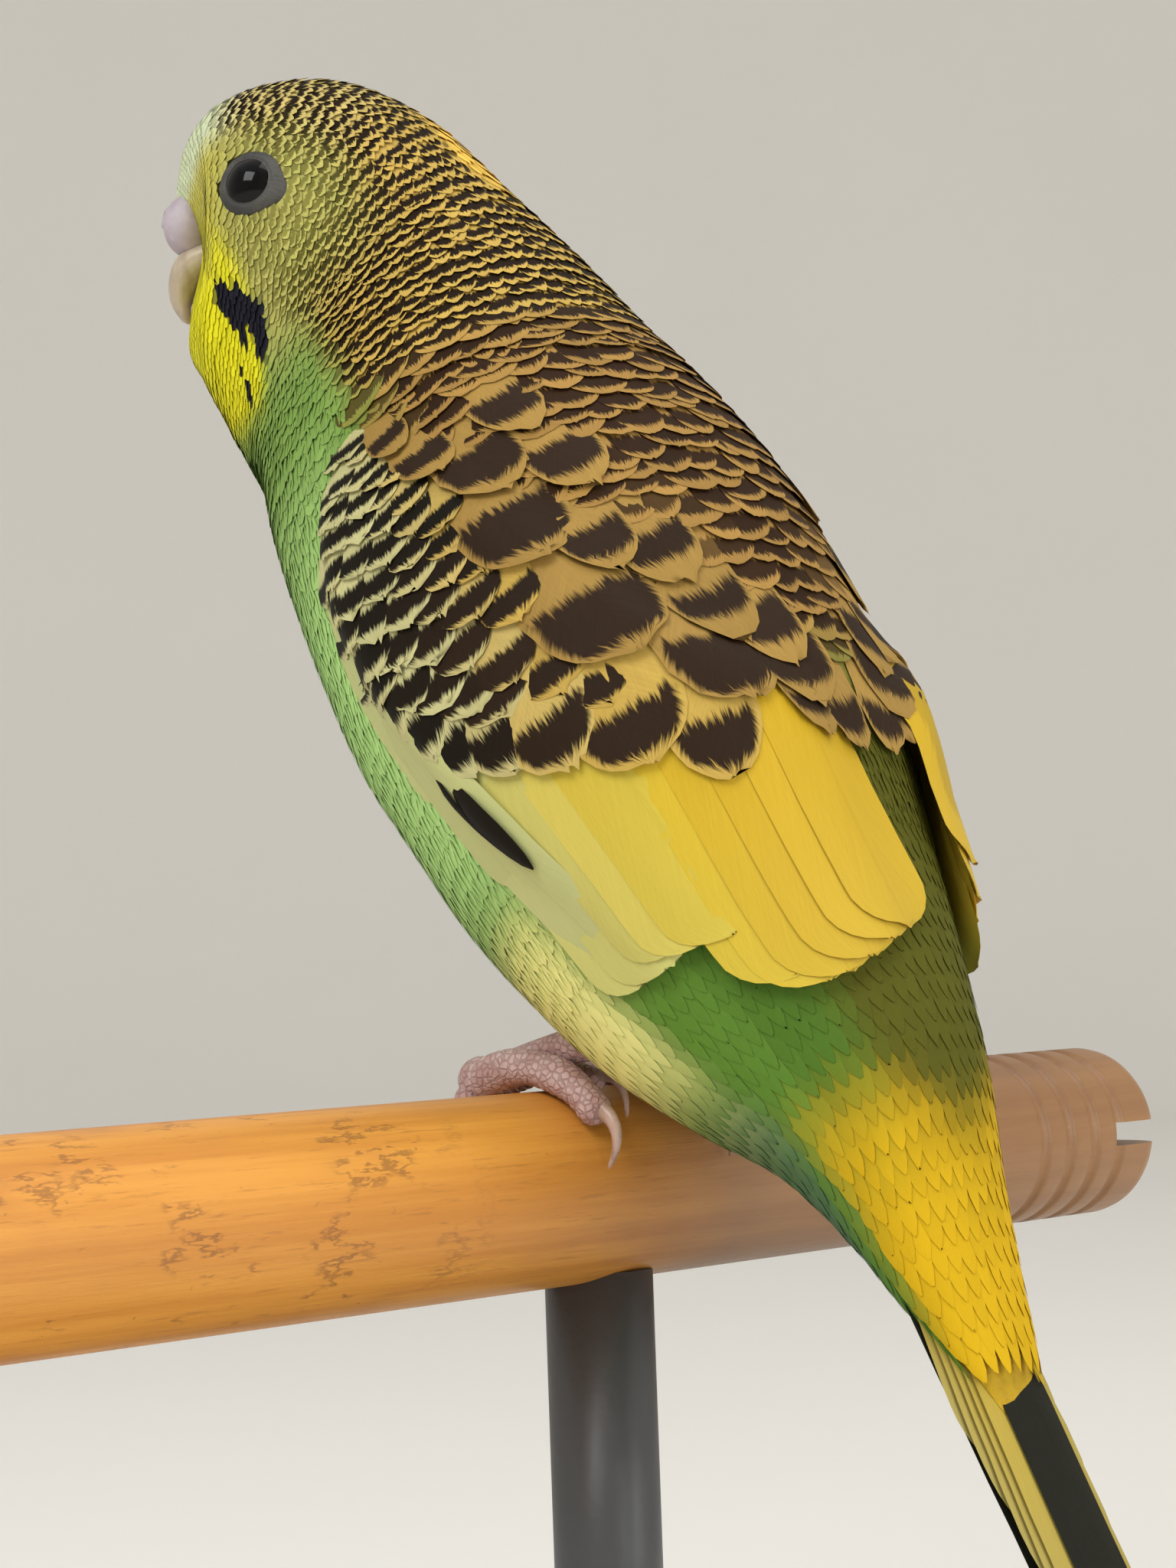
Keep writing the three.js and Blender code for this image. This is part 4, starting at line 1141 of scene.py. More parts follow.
@dataclass
class Face:
    """The cere with its nostrils, and the two halves of the bill."""

    centre: tuple = (-31.8, 86.0)
    cere_at: tuple = (8.1, -0.9)
    cere_size: tuple = (3.2, 2.4, 2.9)
    nostril_out: float = 1.55
    nostril_up: float = 0.7
    nostril: float = 0.5
    nostril_deep: float = 1.2
    nostril_rim: float = 0.2
    crease_deep: float = 0.28
    crease_wide: float = 0.4
    # each half of the bill: forward and up, half width, half depth
    upper: tuple = (((5.0, -3.4), 2.2, 1.4), ((7.6, -4.2), 2.3, 1.6), ((8.8, -5.7), 2.1, 1.4),
                    ((9.1, -7.6), 1.5, 1.0), ((8.5, -9.6), 0.5, 0.4))
    lower: tuple = (((4.2, -8.4), 2.4, 1.2), ((6.6, -8.6), 2.1, 1.1), ((8.1, -8.3), 1.3, 0.7))

    def on_head(self, forward: float, up: float, left: float = 0.0) -> np.ndarray:
        """A place on the head in mm, forward, up and to its left from the head's centre."""
        turn = math.radians(BodyForm.TURN)
        x, y = left, self.centre[0] - forward - BodyForm.TURN_AXIS
        return np.array([x * math.cos(turn) - y * math.sin(turn),
                         x * math.sin(turn) + y * math.cos(turn) + BodyForm.TURN_AXIS,
                         self.centre[1] + up + PERCH_HEIGHT])

    def build(self) -> None:
        """Makes cere and bill."""
        turn = math.radians(BodyForm.TURN)
        across = np.array([math.cos(turn), math.sin(turn), 0.0])
        horn = Horn("bill_horn", (182, 166, 144), (158, 140, 120)).build()
        for name, stations in (("bill_upper", self.upper), ("bill_lower", self.lower)):
            mesh = bmesh.new()
            points = np.array([self.on_head(*at) for at, _, _ in stations])
            wide = np.array([w for _, w, _ in stations])
            deep = np.array([d for _, _, d in stations])
            Limb(points, wide, deep, across, around=36, along=48).add_to(mesh)
            finish_piece(mesh, f"{name}_horn", horn, [name])
        self.build_cere()

    def build_cere(self) -> None:
        """Makes the cere, dented at both nostrils and down its middle."""
        mesh = bmesh.new()
        bmesh.ops.create_uvsphere(mesh, u_segments=96, v_segments=64, radius=1.0)
        for vertex in mesh.verts:
            x, y, z = (part * size for part, size in zip(vertex.co, self.cere_size))
            front = y < 0
            y += self.crease_deep * math.exp(-(x / self.crease_wide) ** 2) * front
            off = min(math.hypot(x - side * self.nostril_out, z - self.nostril_up) for side in (1, -1))
            if front and off < self.nostril:
                y += self.nostril_deep * (1 - (off / self.nostril) ** 2) ** 0.7
            elif front:
                y -= self.nostril_rim * math.exp(-((off - self.nostril - 0.2) / 0.2) ** 2)
            vertex.co = (x, y, z)
        turn = Matrix.Rotation(math.radians(BodyForm.TURN), 3, "Z")
        bmesh.ops.rotate(mesh, cent=(0, 0, 0), matrix=turn, verts=mesh.verts)
        bmesh.ops.translate(mesh, vec=self.on_head(*self.cere_at), verts=mesh.verts)
        bmesh.ops.scale(mesh, vec=(MM, MM, MM), verts=mesh.verts)
        wax = WaxySkin("cere_wax", (190, 180, 190), (172, 158, 168)).build()
        finish_piece(mesh, "cere_pad", wax, ["cere"])


@dataclass
class CoatSurface:
    """The body's surface, raised where the plumage is fluffed up: over the mantle and the throat."""

    form: BodyForm

    # s and how far the plumage is raised there, in mm
    MANTLE = ((-4, 0.0), (8, 0.9), (20, 1.9), (38, 1.9), (52, 1.0), (62, 0.2))
    THROAT = ((-34, 0.9), (-31, 2.0), (-27, 1.9), (-22, 1.2), (-17, 0.3), (-12, -0.3), (-6, -0.2), (0, 0.0))

    def place(self, s: np.ndarray, angle: np.ndarray, lift: np.ndarray = 0.0) -> np.ndarray:
        """Points of the coat's surface in mm, lifted off it."""
        turn = np.abs(angle)
        mantle = read_off(self.MANTLE, s) * ramp(turn, 82, 46)
        throat = read_off(self.THROAT, s) * ramp(turn, 112, 134)
        return self.form.place(s, angle, lift + mantle + throat)

    def spans(self, s: np.ndarray, angle: np.ndarray) -> tuple[np.ndarray, np.ndarray]:
        """How many mm one unit of s and one degree of angle cover at each place."""
        return self.form.spans(s, angle)


@dataclass
class Coat:
    """The skin and the body feathers over it."""

    form: BodyForm
    marks: Markings
    eyes: Eyes
    face: Face
    depth: float = 0.6

    LONGEST_STEP = 4.0
    FEWEST = 6
    EYE_REACH = 4.0
    TIP_OVERLAP = 0.12
    MIDDLE_OVERLAP = -0.1
    CERE_ROOM = 2.9
    BILL_ROOM = 0.45
    HIDDEN = (17, 59)
    HIDDEN_BELOW_TOP = ((17, 15), (26, 5))
    HIDDEN_ABOVE_LOW = 6

    def build_skin(self) -> None:
        """Makes the one skin under all the feathers."""
        mesh = bmesh.new()
        span = BodyForm.LAST - BodyForm.FIRST

        def place(turn: np.ndarray, way: np.ndarray) -> np.ndarray:
            """A point of the skin for a turn and a way down the body."""
            return self.form.place(BodyForm.FIRST + way * span, turn * 360 - 180, -self.depth)

        tube(mesh, 160, 280, place)
        piece = finish_piece(mesh, "body_skin", Hide().build(),
                             ["head", "neck", "torso", "tail", "wing_left", "wing_right"])
        self.colour_skin(piece.data)

    def colour_skin(self, data: bpy.types.Mesh) -> None:
        """Gives the skin the coat's colours."""
        span = BodyForm.LAST - BodyForm.FIRST
        around, along = 240, 420
        turn, way = np.meshgrid(np.arange(around) / around, np.arange(along + 1) / along)
        grid = self.form.place(BodyForm.FIRST + way.ravel() * span, turn.ravel() * 360 - 180, -self.depth)
        tree = KDTree(len(grid))
        for index, point in enumerate(grid * MM):
            tree.insert(point, index)
        tree.balance()
        nearest = np.array([tree.find(vertex.co)[1] for vertex in data.vertices])
        s = BodyForm.FIRST + way.ravel()[nearest] * span
        angle = turn.ravel()[nearest] * 360 - 180
        share = self.marks.cheek(s, angle)
        ground = blend(self.marks.ground(s, angle), self.marks.CHEEK, share)
        Layer.COLOUR.write(data, "ground", ground)
        Layer.COLOUR.write(data, "mark", self.marks.mark(s, angle))
        Layer.NUMBER.write(data, "strength", self.marks.strength(s, angle))

    @staticmethod
    def lean(s: np.ndarray, angle: np.ndarray) -> np.ndarray:
        """How far the rows bow back over the cheek and sweep forward below it."""
        turn = np.abs(angle)
        bow = 1.6 * np.exp(-((turn - 78) / 14) ** 2) - 3.4 * ramp(turn, 86, 103)
        return bow * ramp(s, -27, -19) * ramp(s, 6, -4)

    def rows(self, start: float, end: float, pitch: Callable[[float], float], gap: float,
             reference: float) -> tuple[np.ndarray, np.ndarray, np.ndarray]:
        """Rows of tips over the whole body between two places.

        Args:
            start: where the first row lies, in mm along the body.
            end: where the rows stop.
            pitch: the space between rows, in mm, at a place along the body.
            gap: the space between feathers in a row, in mm.
            reference: the angle at which the pitch is measured.

        Returns:
            The tips' s and angle, and the step in s to the row before.
        """
        found_s, found_angle, found_step = [], [], []
        s, odd = start, 0.0
        while s < end:
            along, _ = self.form.spans(np.array(s), np.array(reference))
            step = min(pitch(s) / float(along), self.LONGEST_STEP)
            angles = np.linspace(-180, 180, 361)
            ring = self.form.place(np.full(len(angles), s), angles)
            lengths = np.concatenate([[0], np.cumsum(np.linalg.norm(np.diff(ring, axis=0), axis=1))])
            count = max(int(lengths[-1] / gap), self.FEWEST)
            at = (np.arange(count) + odd) / count * lengths[-1]
            angle = np.interp(at, lengths, angles)
            found_angle.append(angle)
            found_s.append(s + self.lean(np.full(count, s), angle))
            found_step.append(np.full(count, step))
            s += step
            odd = 0.5 - odd
        return tuple(np.concatenate(part) for part in (found_s, found_angle, found_step))

    def zone(self, seed: int, start: float, end: float, pitch: Callable[[float], float], gap: float,
             reference: float, reach: float, wide: float, lift: tuple, band: tuple,
             sway: float = 3.0, vary: float = 0.06) -> Vanes:
        """One set of body feathers in rows, with the body's markings.

        Args:
            seed: for the small differences between feathers.
            start: the first row's place along the body.
            end: the last row's.
            pitch: the space between rows.
            gap: the space between feathers in a row.
            reference: the angle at which the pitch is measured.
            reach: a feather's length in rows.
            wide: its width in gaps.
            lift: the root's and the tip's distance off the surface.
            band: the mark's centre, half width and reach to the sides.
            sway: how much the feathers' lie varies, in degrees of angle.
            vary: how much their places, colours and sizes vary.

        Returns:
            The set of feathers.
        """
        random = np.random.default_rng(seed)
        s, angle, step = self.rows(start, end, pitch, gap, reference)
        count = len(s)
        s = s + random.normal(0, vary * 1.5, count) * step
        along, _ = self.form.spans(s, angle)
        ref, _ = self.form.spans(s, np.full(count, reference))
        length = step * reach * np.clip(np.maximum(ref / along * 0.72, 1.0), 1.0, 2.2)
        length = length * random.uniform(1 - 2 * vary, 1 + 2 * vary, count)
        root = np.stack([np.maximum(s - length, BodyForm.FIRST), angle + random.normal(0, sway, count)], 1)
        tip = np.stack([s, angle], 1)
        seen = s - step * 0.4
        patch = self.marks.cheek(seen, angle)
        tone = random.uniform(1 - vary * 0.6, 1 + vary * 0.6, (count, 1))
        ground, ground_tip = (blend(self.marks.ground(at, angle), self.marks.CHEEK, patch) * tone
                              for at in (s - length, s))
        bands = np.tile(np.array(band), (count, 1)) * random.uniform(0.96, 1.04, (count, 3))
        strength = self.marks.strength(seen, angle) * (1 - patch)
        width = gap * wide * random.uniform(1 - vary * 1.5, 1 + vary * 1.5, count)
        return Vanes(root, tip, width, lift=lift, camber=0.012 * gap, ragged=0.01,
                     rows_lift=random.normal(0, 0.012, count), ground=ground, ground_tip=ground_tip,
                     mark=self.marks.mark(seen, angle), strength=strength, band=bands)

    def bare(self, vanes: Vanes) -> Vanes:
        """The set without the feathers that would cover eyes, cere or bill."""
        surface = CoatSurface(self.form)
        tips = surface.place(vanes.tip[:, 0], vanes.tip[:, 1])
        points = surface.place(*(vanes.root * 0.3 + vanes.tip * 0.7).T)
        keep = np.ones(len(tips), bool)
        for side, _ in SIDES:
            rim, axes = np.array(self.eyes.frame(self.form, side)[0]), self.eyes.axes(self.form, side)
            for at, room in ((tips, self.TIP_OVERLAP), (points, self.MIDDLE_OVERLAP)):
                flat = (at - rim) @ axes.T
                edge = self.eyes.ring + self.eyes.corner_at(np.arctan2(flat[:, 1], flat[:, 0]))
                far = np.abs(flat[:, 2]) > self.EYE_REACH
                keep &= (np.hypot(flat[:, 0], flat[:, 1]) > edge - room) | far
        cere = self.face.on_head(*self.face.cere_at)
        keep &= np.linalg.norm(tips - cere, axis=1) > self.CERE_ROOM
        for (forward, up), wide, _ in self.face.upper:
            bill = self.face.on_head(forward, up)
            keep &= np.linalg.norm(tips - bill, axis=1) > wide * self.BILL_ROOM
        return vanes.keep(keep)

    def build_feathers(self) -> None:
        """Makes the coat of face, head, neck, mantle, body and tail base."""
        small = Plumage("head_feathers", barbs=9.0, fringe=0.12, depth=0.00004, bow=0.08,
                        contrast=0.26).build()
        barred = Plumage("mantle_feathers", barbs=26.0, fringe=0.13, depth=0.00005, bow=0.12,
                         contrast=0.32).build()
        soft = Plumage("body_feathers", barbs=26.0, roughness=0.75, depth=0.00002, bow=0.14,
                       contrast=0.1).build()
        down = Plumage("body_down", barbs=3.0, roughness=0.75, depth=0.00002, bow=0.0,
                       contrast=0.12).build()
        maker = Featherer(CoatSurface(self.form), SEED)
        face = self.zone(seed=1, start=-33.6, end=-24, pitch=lambda s: 0.6, gap=0.6, reference=60,
                         reach=2.6, wide=1.6, lift=(-0.4, 0.0), band=(0.7, 0.14, 1.2), sway=1.0)
        maker.build("coat_face", self.bare(face), VaneKind.FACE, small, "head_plumage")
        head = self.zone(seed=2, start=-25, end=1, pitch=lambda s: 1.0 + 0.02 * (s + 25), gap=0.85,
                         reference=45, reach=2.5, wide=1.8, lift=(-0.4, 0.06), band=(0.735, 0.125, 1.3),
                         sway=1.4, vary=0.1)
        maker.build("coat_head", self.bare(head), VaneKind.SMALL, small, "head_plumage")
        neck = self.zone(seed=3, start=0.2, end=18.5, pitch=lambda s: 1.5 + 0.02 * s, gap=1.3, reference=45,
                         reach=2.5, wide=1.9, lift=(-0.45, 0.1), band=(0.72, 0.14, 1.2), sway=1.6, vary=0.1)
        maker.build("coat_neck", self.under_wings(neck), VaneKind.CONTOUR, small, "head_plumage")
        mantle = self.zone(seed=6, start=15, end=57, pitch=lambda s: 2.0 + 0.012 * (s - 15), gap=2.7,
                           reference=20, reach=2.7, wide=1.9, lift=(-0.5, 0.22), band=(0.72, 0.165, 1.1),
                           sway=1.6, vary=0.12)
        mantle = self.under_wings(mantle)
        mantle = mantle.keep(mantle.strength > 0.3)
        maker.build("coat_mantle", mantle, VaneKind.COVERT, barred, "wing_plumage")
        body = self.zone(seed=4, start=15, end=66, pitch=lambda s: 1.8, gap=1.6, reference=120, reach=3.0,
                         wide=1.9, lift=(-0.42, 0.0), band=(0.5, 0.3, 0.7), sway=1.6)
        maker.build("coat_body", self.unmarked(body, 0.5), VaneKind.CONTOUR, soft, "body_plumage")
        rear = self.zone(seed=5, start=64, end=105.0, pitch=lambda s: 2.0, gap=1.15, reference=60,
                         reach=4.6, wide=1.75, lift=(-0.4, -0.02), band=(0.5, 0.2, 0.7), sway=2.0)
        rear.strength[:] = 0
        maker.build("coat_rear", rear, VaneKind.PLUME, soft, "body_plumage")
        fluff = self.zone(seed=7, start=2, end=66, pitch=lambda s: 1.15, gap=0.72, reference=110, reach=3.8,
                          wide=0.85, lift=(-0.3, 0.1), band=(0.5, 0.2, 0.7), sway=2.5)
        maker.build("coat_down", self.unmarked(fluff, 0.25), VaneKind.TUFT, down, "body_plumage")

    def unmarked(self, vanes: Vanes, most: float) -> Vanes:
        """The set outside the wings, with only its faintly marked feathers, made plain."""
        vanes = self.under_wings(vanes)
        vanes = vanes.keep(vanes.strength < most)
        vanes.strength[:] = 0
        return vanes

    def under_wings(self, vanes: Vanes) -> Vanes:
        """The set without the feathers that lie hidden under the wings."""
        s, turn = vanes.tip[:, 0], np.abs(vanes.tip[:, 1])
        first, last = self.HIDDEN
        top = read_off(WingSurface.TOP, s) + read_off(self.HIDDEN_BELOW_TOP, s)
        low = read_off(WingSurface.LOW, s) - self.HIDDEN_ABOVE_LOW
        return vanes.keep(~((s > first) & (s < last) & (turn > top) & (turn < low)))


@dataclass
class WingSurface:
    """The body's surface, raised by the thickness of the wing folded on one side."""

    form: CoatSurface
    side: int
    shoulder_drop: float = 2.0
    tip_drop: float = 14.0

    DROOP_START = 14.5
    DROOP_LENGTH = 47.5
    # s and the wing's thickness in mm, and s and the angle of its upper and lower edge
    THICKNESS = ((13, 0.0), (16, 0.3), (21, 1.3), (28, 2.0), (38, 2.2), (48, 2.0), (56, 1.5), (62, 0.9),
                 (78, 0.4))
    TOP = ((14, 74), (20, 68), (27, 58), (35, 50), (45, 38), (52, 22), (56, 12), (58, 8))
    LOW = ((14, 76), (17, 88), (22, 97), (28, 102), (40, 100), (52, 96), (60, 90), (76, 84))

    def droop(self, s: np.ndarray) -> np.ndarray:
        """How many degrees lower the right wing lies than the left one."""
        s = np.asarray(s, float)
        if self.side > 0:
            return np.zeros_like(s)
        more = self.tip_drop - self.shoulder_drop
        return self.shoulder_drop + more * (s - self.DROOP_START) / self.DROOP_LENGTH

    def place(self, s: np.ndarray, angle: np.ndarray, lift: np.ndarray = 0.0) -> np.ndarray:
        """Points of the wing's surface in mm, lifted off it."""
        turn = np.abs(angle) - self.droop(s)
        top, low = read_off(self.TOP, s), read_off(self.LOW, s)
        share = ramp(turn, top - 8, top + 8) * ramp(turn, low + 6, low - 7)
        return self.form.place(s, angle, lift + read_off(self.THICKNESS, s) * share)

    def spans(self, s: np.ndarray, angle: np.ndarray) -> tuple[np.ndarray, np.ndarray]:
        """How many mm one unit of s and one degree of angle cover at each place."""
        return self.form.spans(s, angle)


@dataclass
class Wing:
    """One folded wing: coverts in rows, scapulars, and clipped flight feathers."""

    form: BodyForm
    side: int
    label: str
    flights: int = 11
    # s and angle of the clipped tips, from the outermost feather to the innermost
    tips: tuple = ((69.5, 87), (68.6, 74), (69.4, 63), (74.0, 49), (77.0, 38), (76.6, 22), (74.6, 7))
    hang: float = 32.0
    spread: float = 1.3
    shorter: float = 7.0
    ahead: float = 0.2
    flight_width: float = 8.4
    flight_lift: float = 0.55
    greater_length: float = 12.5

    CREAM = srgb(196, 192, 138)
    STRAW = srgb(192, 160, 78)
    DARK = srgb(24, 19, 11)
    BROWN = srgb(46, 32, 20)
    TAN = srgb(160, 128, 66)
    PALE = srgb(200, 198, 118)
    LEADING = srgb(188, 192, 130)
    YELLOW = srgb(206, 178, 42)
    GOLD = srgb(200, 160, 16)
    OLIVE = srgb(150, 124, 20)

    COVERT_ROWS = (
        # the dark marks' s and angle at the row's low end, middle and high end, feathers, width, length
        (16.6, 88, 17.6, 80, 19.2, 72, 3, 3.4, 5.0),
        (18.6, 92, 20.8, 80, 23.6, 68, 5, 3.7, 5.2),
        (20.6, 95, 23.6, 80, 27.6, 66, 5, 3.9, 5.6),
        (22.7, 99, 25.4, 82, 30.2, 64, 6, 4.0, 6.0),
        (25.0, 103, 28.3, 82, 33.4, 61, 6, 4.4, 6.4),
        (27.4, 104, 31.2, 82, 36.0, 60, 6, 4.8, 7.0),
        (29.8, 105, 34.2, 80, 42.0, 56, 7, 5.0, 7.8),
        (32.4, 104, 38.6, 80, 50.5, 53, 8, 5.6, 8.8),
        (34.4, 103, 41.0, 86, 47.0, 72, 6, 5.4, 8.0),
    )
    GREATER = (
        # the dark mark's s and angle, width
        (35.5, 101, 5.0), (39.2, 97, 5.4), (42.8, 92, 5.8), (46.2, 87, 6.2), (48.4, 79, 6.8),
        (51.0, 69, 7.6), (54.2, 54, 8.8), (57.6, 38, 7.2),
    )
    SCAPULARS = (
        # tip's s and angle, length, width, mark's centre, mark's half width
        (22.0, 66, 7, 3.8, 0.7, 0.13), (26.6, 60, 8, 4.8, 0.7, 0.14),
        (26.5, 38, 10, 5.6, 0.7, 0.15), (31.0, 50, 11, 6.8, 0.71, 0.18), (33.5, 33, 11, 6.2, 0.7, 0.15),
        (38.6, 50, 12, 8.2, 0.7, 0.21), (41.4, 37, 11, 6.2, 0.76, 0.14), (44.0, 25, 12, 6.6, 0.7, 0.12),
        (48.8, 44, 13, 9.6, 0.73, 0.21), (50.0, 20, 13, 7.2, 0.72, 0.1), (55.4, 26, 14, 8.8, 0.76, 0.2),
        (52.5, 10, 12, 7.0, 0.68, 0.16), (56.2, 8, 13, 8.0, 0.7, 0.18), (58.8, 9, 12, 5.4, 0.8, 0.08),
        (59.6, -1, 12, 5.2, 0.8, 0.12),
    )
    EDGE = (
        # root's s and angle, tip's s and angle, width, lift
        (24, 106, 46, 105, 3.4, -0.1), (30, 104, 56, 98, 4.4, 0.0), (36, 101, 67, 90, 5.6, 0.05),
    )
    STREAKS = (
        # root's s and angle, tip's s and angle, width, lift
        (46.2, 95.6, 57.0, 90.0, 2.3, 0.55), (44.5, 98.4, 52.8, 94.6, 1.0, 0.5),
    )

    def on_side(self, s: np.ndarray, angle: np.ndarray) -> np.ndarray:
        """Places on this wing's side of the body, with its droop."""
        surface = WingSurface(CoatSurface(self.form), self.side)
        return np.stack([s, self.side * (angle + surface.droop(s))], -1)

    def build(self) -> None:
        """Makes the wing's feathers, from the lowest layer up."""
        sleek = Plumage(f"flight_feathers_{self.label}", barbs=60.0, fringe=0.02, shaft=0.05,
                        roughness=0.5, depth=0.00003, bow=0.04, contrast=0.14).build()
        scaled = Plumage(f"wing_coverts_{self.label}", barbs=24.0, fringe=0.09, depth=0.00005, bow=0.05,
                         contrast=0.3).build()
        broad = Plumage(f"scapulars_{self.label}", barbs=36.0, depth=0.00005, bow=0.06,
                        contrast=0.3).build()
        maker = Featherer(WingSurface(CoatSurface(self.form), self.side), SEED + 20 + self.side)
        for name, vanes, kind, material in (
                ("flight", self.flight(), VaneKind.FLIGHT, sleek),
                ("leading_edge", self.strip(self.EDGE, self.LEADING), VaneKind.FLIGHT, sleek),
                ("streaks", self.strip(self.STREAKS, self.DARK), VaneKind.PLUME, scaled),
                ("coverts", self.coverts(), VaneKind.SCALLOP, scaled),
                ("greater_coverts", self.greater(), VaneKind.COVERT, broad),
                ("scapulars", self.scapulars(), VaneKind.COVERT, broad)):
            maker.build(f"{name}_{self.label}", vanes, kind, material, "wing_plumage")

    def flight(self) -> Vanes:
        """The flight feathers, plain yellow with paler clipped tips."""
        u = np.linspace(0, 1, self.flights)
        tip = Limb.curve(np.array(self.tips, float), u)
        random = np.random.default_rng(40 + self.side)
        s, angle = tip[:, 0] + random.normal(0, 0.8, len(u)), tip[:, 1]
        lift = self.flight_lift * u
        if self.side < 0:
            s = s - self.shorter * u
            angle = angle + self.hang * (0.35 + 0.65 * u)
            lift = lift + self.spread * u
        tips = np.stack([s, self.side * angle], 1)
        roots = self.on_side(40 + 3 * u, 93 - 73 * u)
        pale = blend(self.YELLOW, self.PALE, ramp(u, 0.5, 0.05))
        ground = blend(pale, self.GOLD, ramp(u, 0.45, 0.8))
        return Vanes(roots, tips, np.full(len(u), self.flight_width), lift=(-0.6, 0.25),
                     tilt=self.side * 0.24, camber=0.08, ragged=0.003, rows_lift=lift, ground=ground,
                     ground_tip=blend(ground, self.PALE, np.full(len(u), 0.2)),
                     mark=np.tile(self.OLIVE, (len(u), 1)),
                     strength=np.where(u > 0.5, 0.4 if self.side < 0 else 0.0, 0.0),
                     band=np.tile([0.6, 0.26, 0.55], (len(u), 1)))

    def strip(self, rows: tuple, colour: np.ndarray) -> Vanes:
        """Long plain feathers along the wing's leading edge, or streaks beside them."""
        root_s, root_angle, s, angle, width, lift = np.array(rows, float).T
        return Vanes.plain(self.on_side(root_s, root_angle), self.on_side(s, angle), width,
                           np.tile(colour, (len(rows), 1)), lift=(-0.3, 0.1), camber=0.25, ragged=0.008,
                           rise=0.4, rows_lift=lift)

    def coverts(self) -> Vanes:
        """The smaller coverts in curved rows, cream with black bars, larger and browner downward."""
        random = np.random.default_rng(60 + self.side)
        s, angle, width, length, rank = [], [], [], [], []
        for index, row in enumerate(self.COVERT_ROWS):
            low, middle, high, (count, wide, long) = row[0:2], row[2:4], row[4:6], row[6:9]
            way = (np.arange(count) + 0.25 + 0.5 * (index % 2)) / count
            at = Limb.curve(np.array([low, middle, high], float), way)
            s.append(at[:, 0] + random.normal(0, 0.22, count) + self.ahead * long)
            angle.append(at[:, 1] + random.normal(0, 0.7, count))
            width.append(wide * random.uniform(0.92, 1.12, count))
            length.append(np.full(count, long))
            rank.append(np.full(count, index / (len(self.COVERT_ROWS) - 1)))
        s, angle, width, length, rank = (np.concatenate(part) for part in (s, angle, width, length, rank))
        count = len(s)
        band = np.stack([np.full(count, 1 - self.ahead), 0.105 + 0.03 * rank, np.full(count, 1.05)], 1)
        band = band * random.uniform(0.95, 1.05, (count, 3))
        ground = blend(self.CREAM, self.STRAW, ramp(angle, 84, 60))
        mark = blend(self.DARK, self.BROWN, ramp(rank, 0.4, 1.0) * ramp(angle, 96, 70))
        roots = self.on_side(s - length, angle - 4.0 * ramp(angle, 60, 90))
        return Vanes(roots, self.on_side(s, angle), width, lift=(-0.7, 0.14), tilt=self.side * 0.08,
                     camber=0.14, ragged=0.03, rows_lift=0.1 * rank + random.normal(0, 0.03, count),
                     ground=ground, mark=mark, strength=np.ones(count), band=band)

    def greater(self) -> Vanes:
        """The row of greater coverts, each with a large dark mark inside a pale rim."""
        at, angle, width = np.array(self.GREATER, float).T
        random = np.random.default_rng(70 + self.side)
        count, long = len(at), self.greater_length
        s = at + self.ahead * long
        inner = ramp(angle, 90, 60)
        band = np.stack([np.full(count, 1 - self.ahead), 0.12 + 0.03 * inner, np.full(count, 0.85)], 1)
        return Vanes(self.on_side(s - long, angle - 2.0), self.on_side(s, angle), width, lift=(-0.5, 0.16),
                     tilt=self.side * 0.1, camber=0.18, ragged=0.02,
                     rows_lift=0.42 * inner + random.normal(0.0, 0.03, count),
                     ground=blend(self.CREAM, self.STRAW, inner), mark=blend(self.DARK, self.BROWN, inner),
                     strength=np.ones(count), band=band)

    def scapulars(self) -> Vanes:
        """The scapulars and inner coverts with their large dark blotches."""
        s, angle, length, width, centre, half = np.array(self.SCAPULARS, float).T
        count = len(s)
        random = np.random.default_rng(80 + self.side)
        return Vanes(self.on_side(s - length, angle + 6), self.on_side(s, angle), width, lift=(-0.5, 0.5),
                     tilt=self.side * 0.08, camber=0.2, ragged=0.025,
                     rows_lift=np.linspace(0, 0.2, count) + random.normal(0, 0.03, count),
                     ground=np.tile(self.TAN, (count, 1)), mark=np.tile(self.BROWN, (count, 1)),
                     strength=np.ones(count), band=np.stack([centre, half, np.full(count, 0.9)], 1))


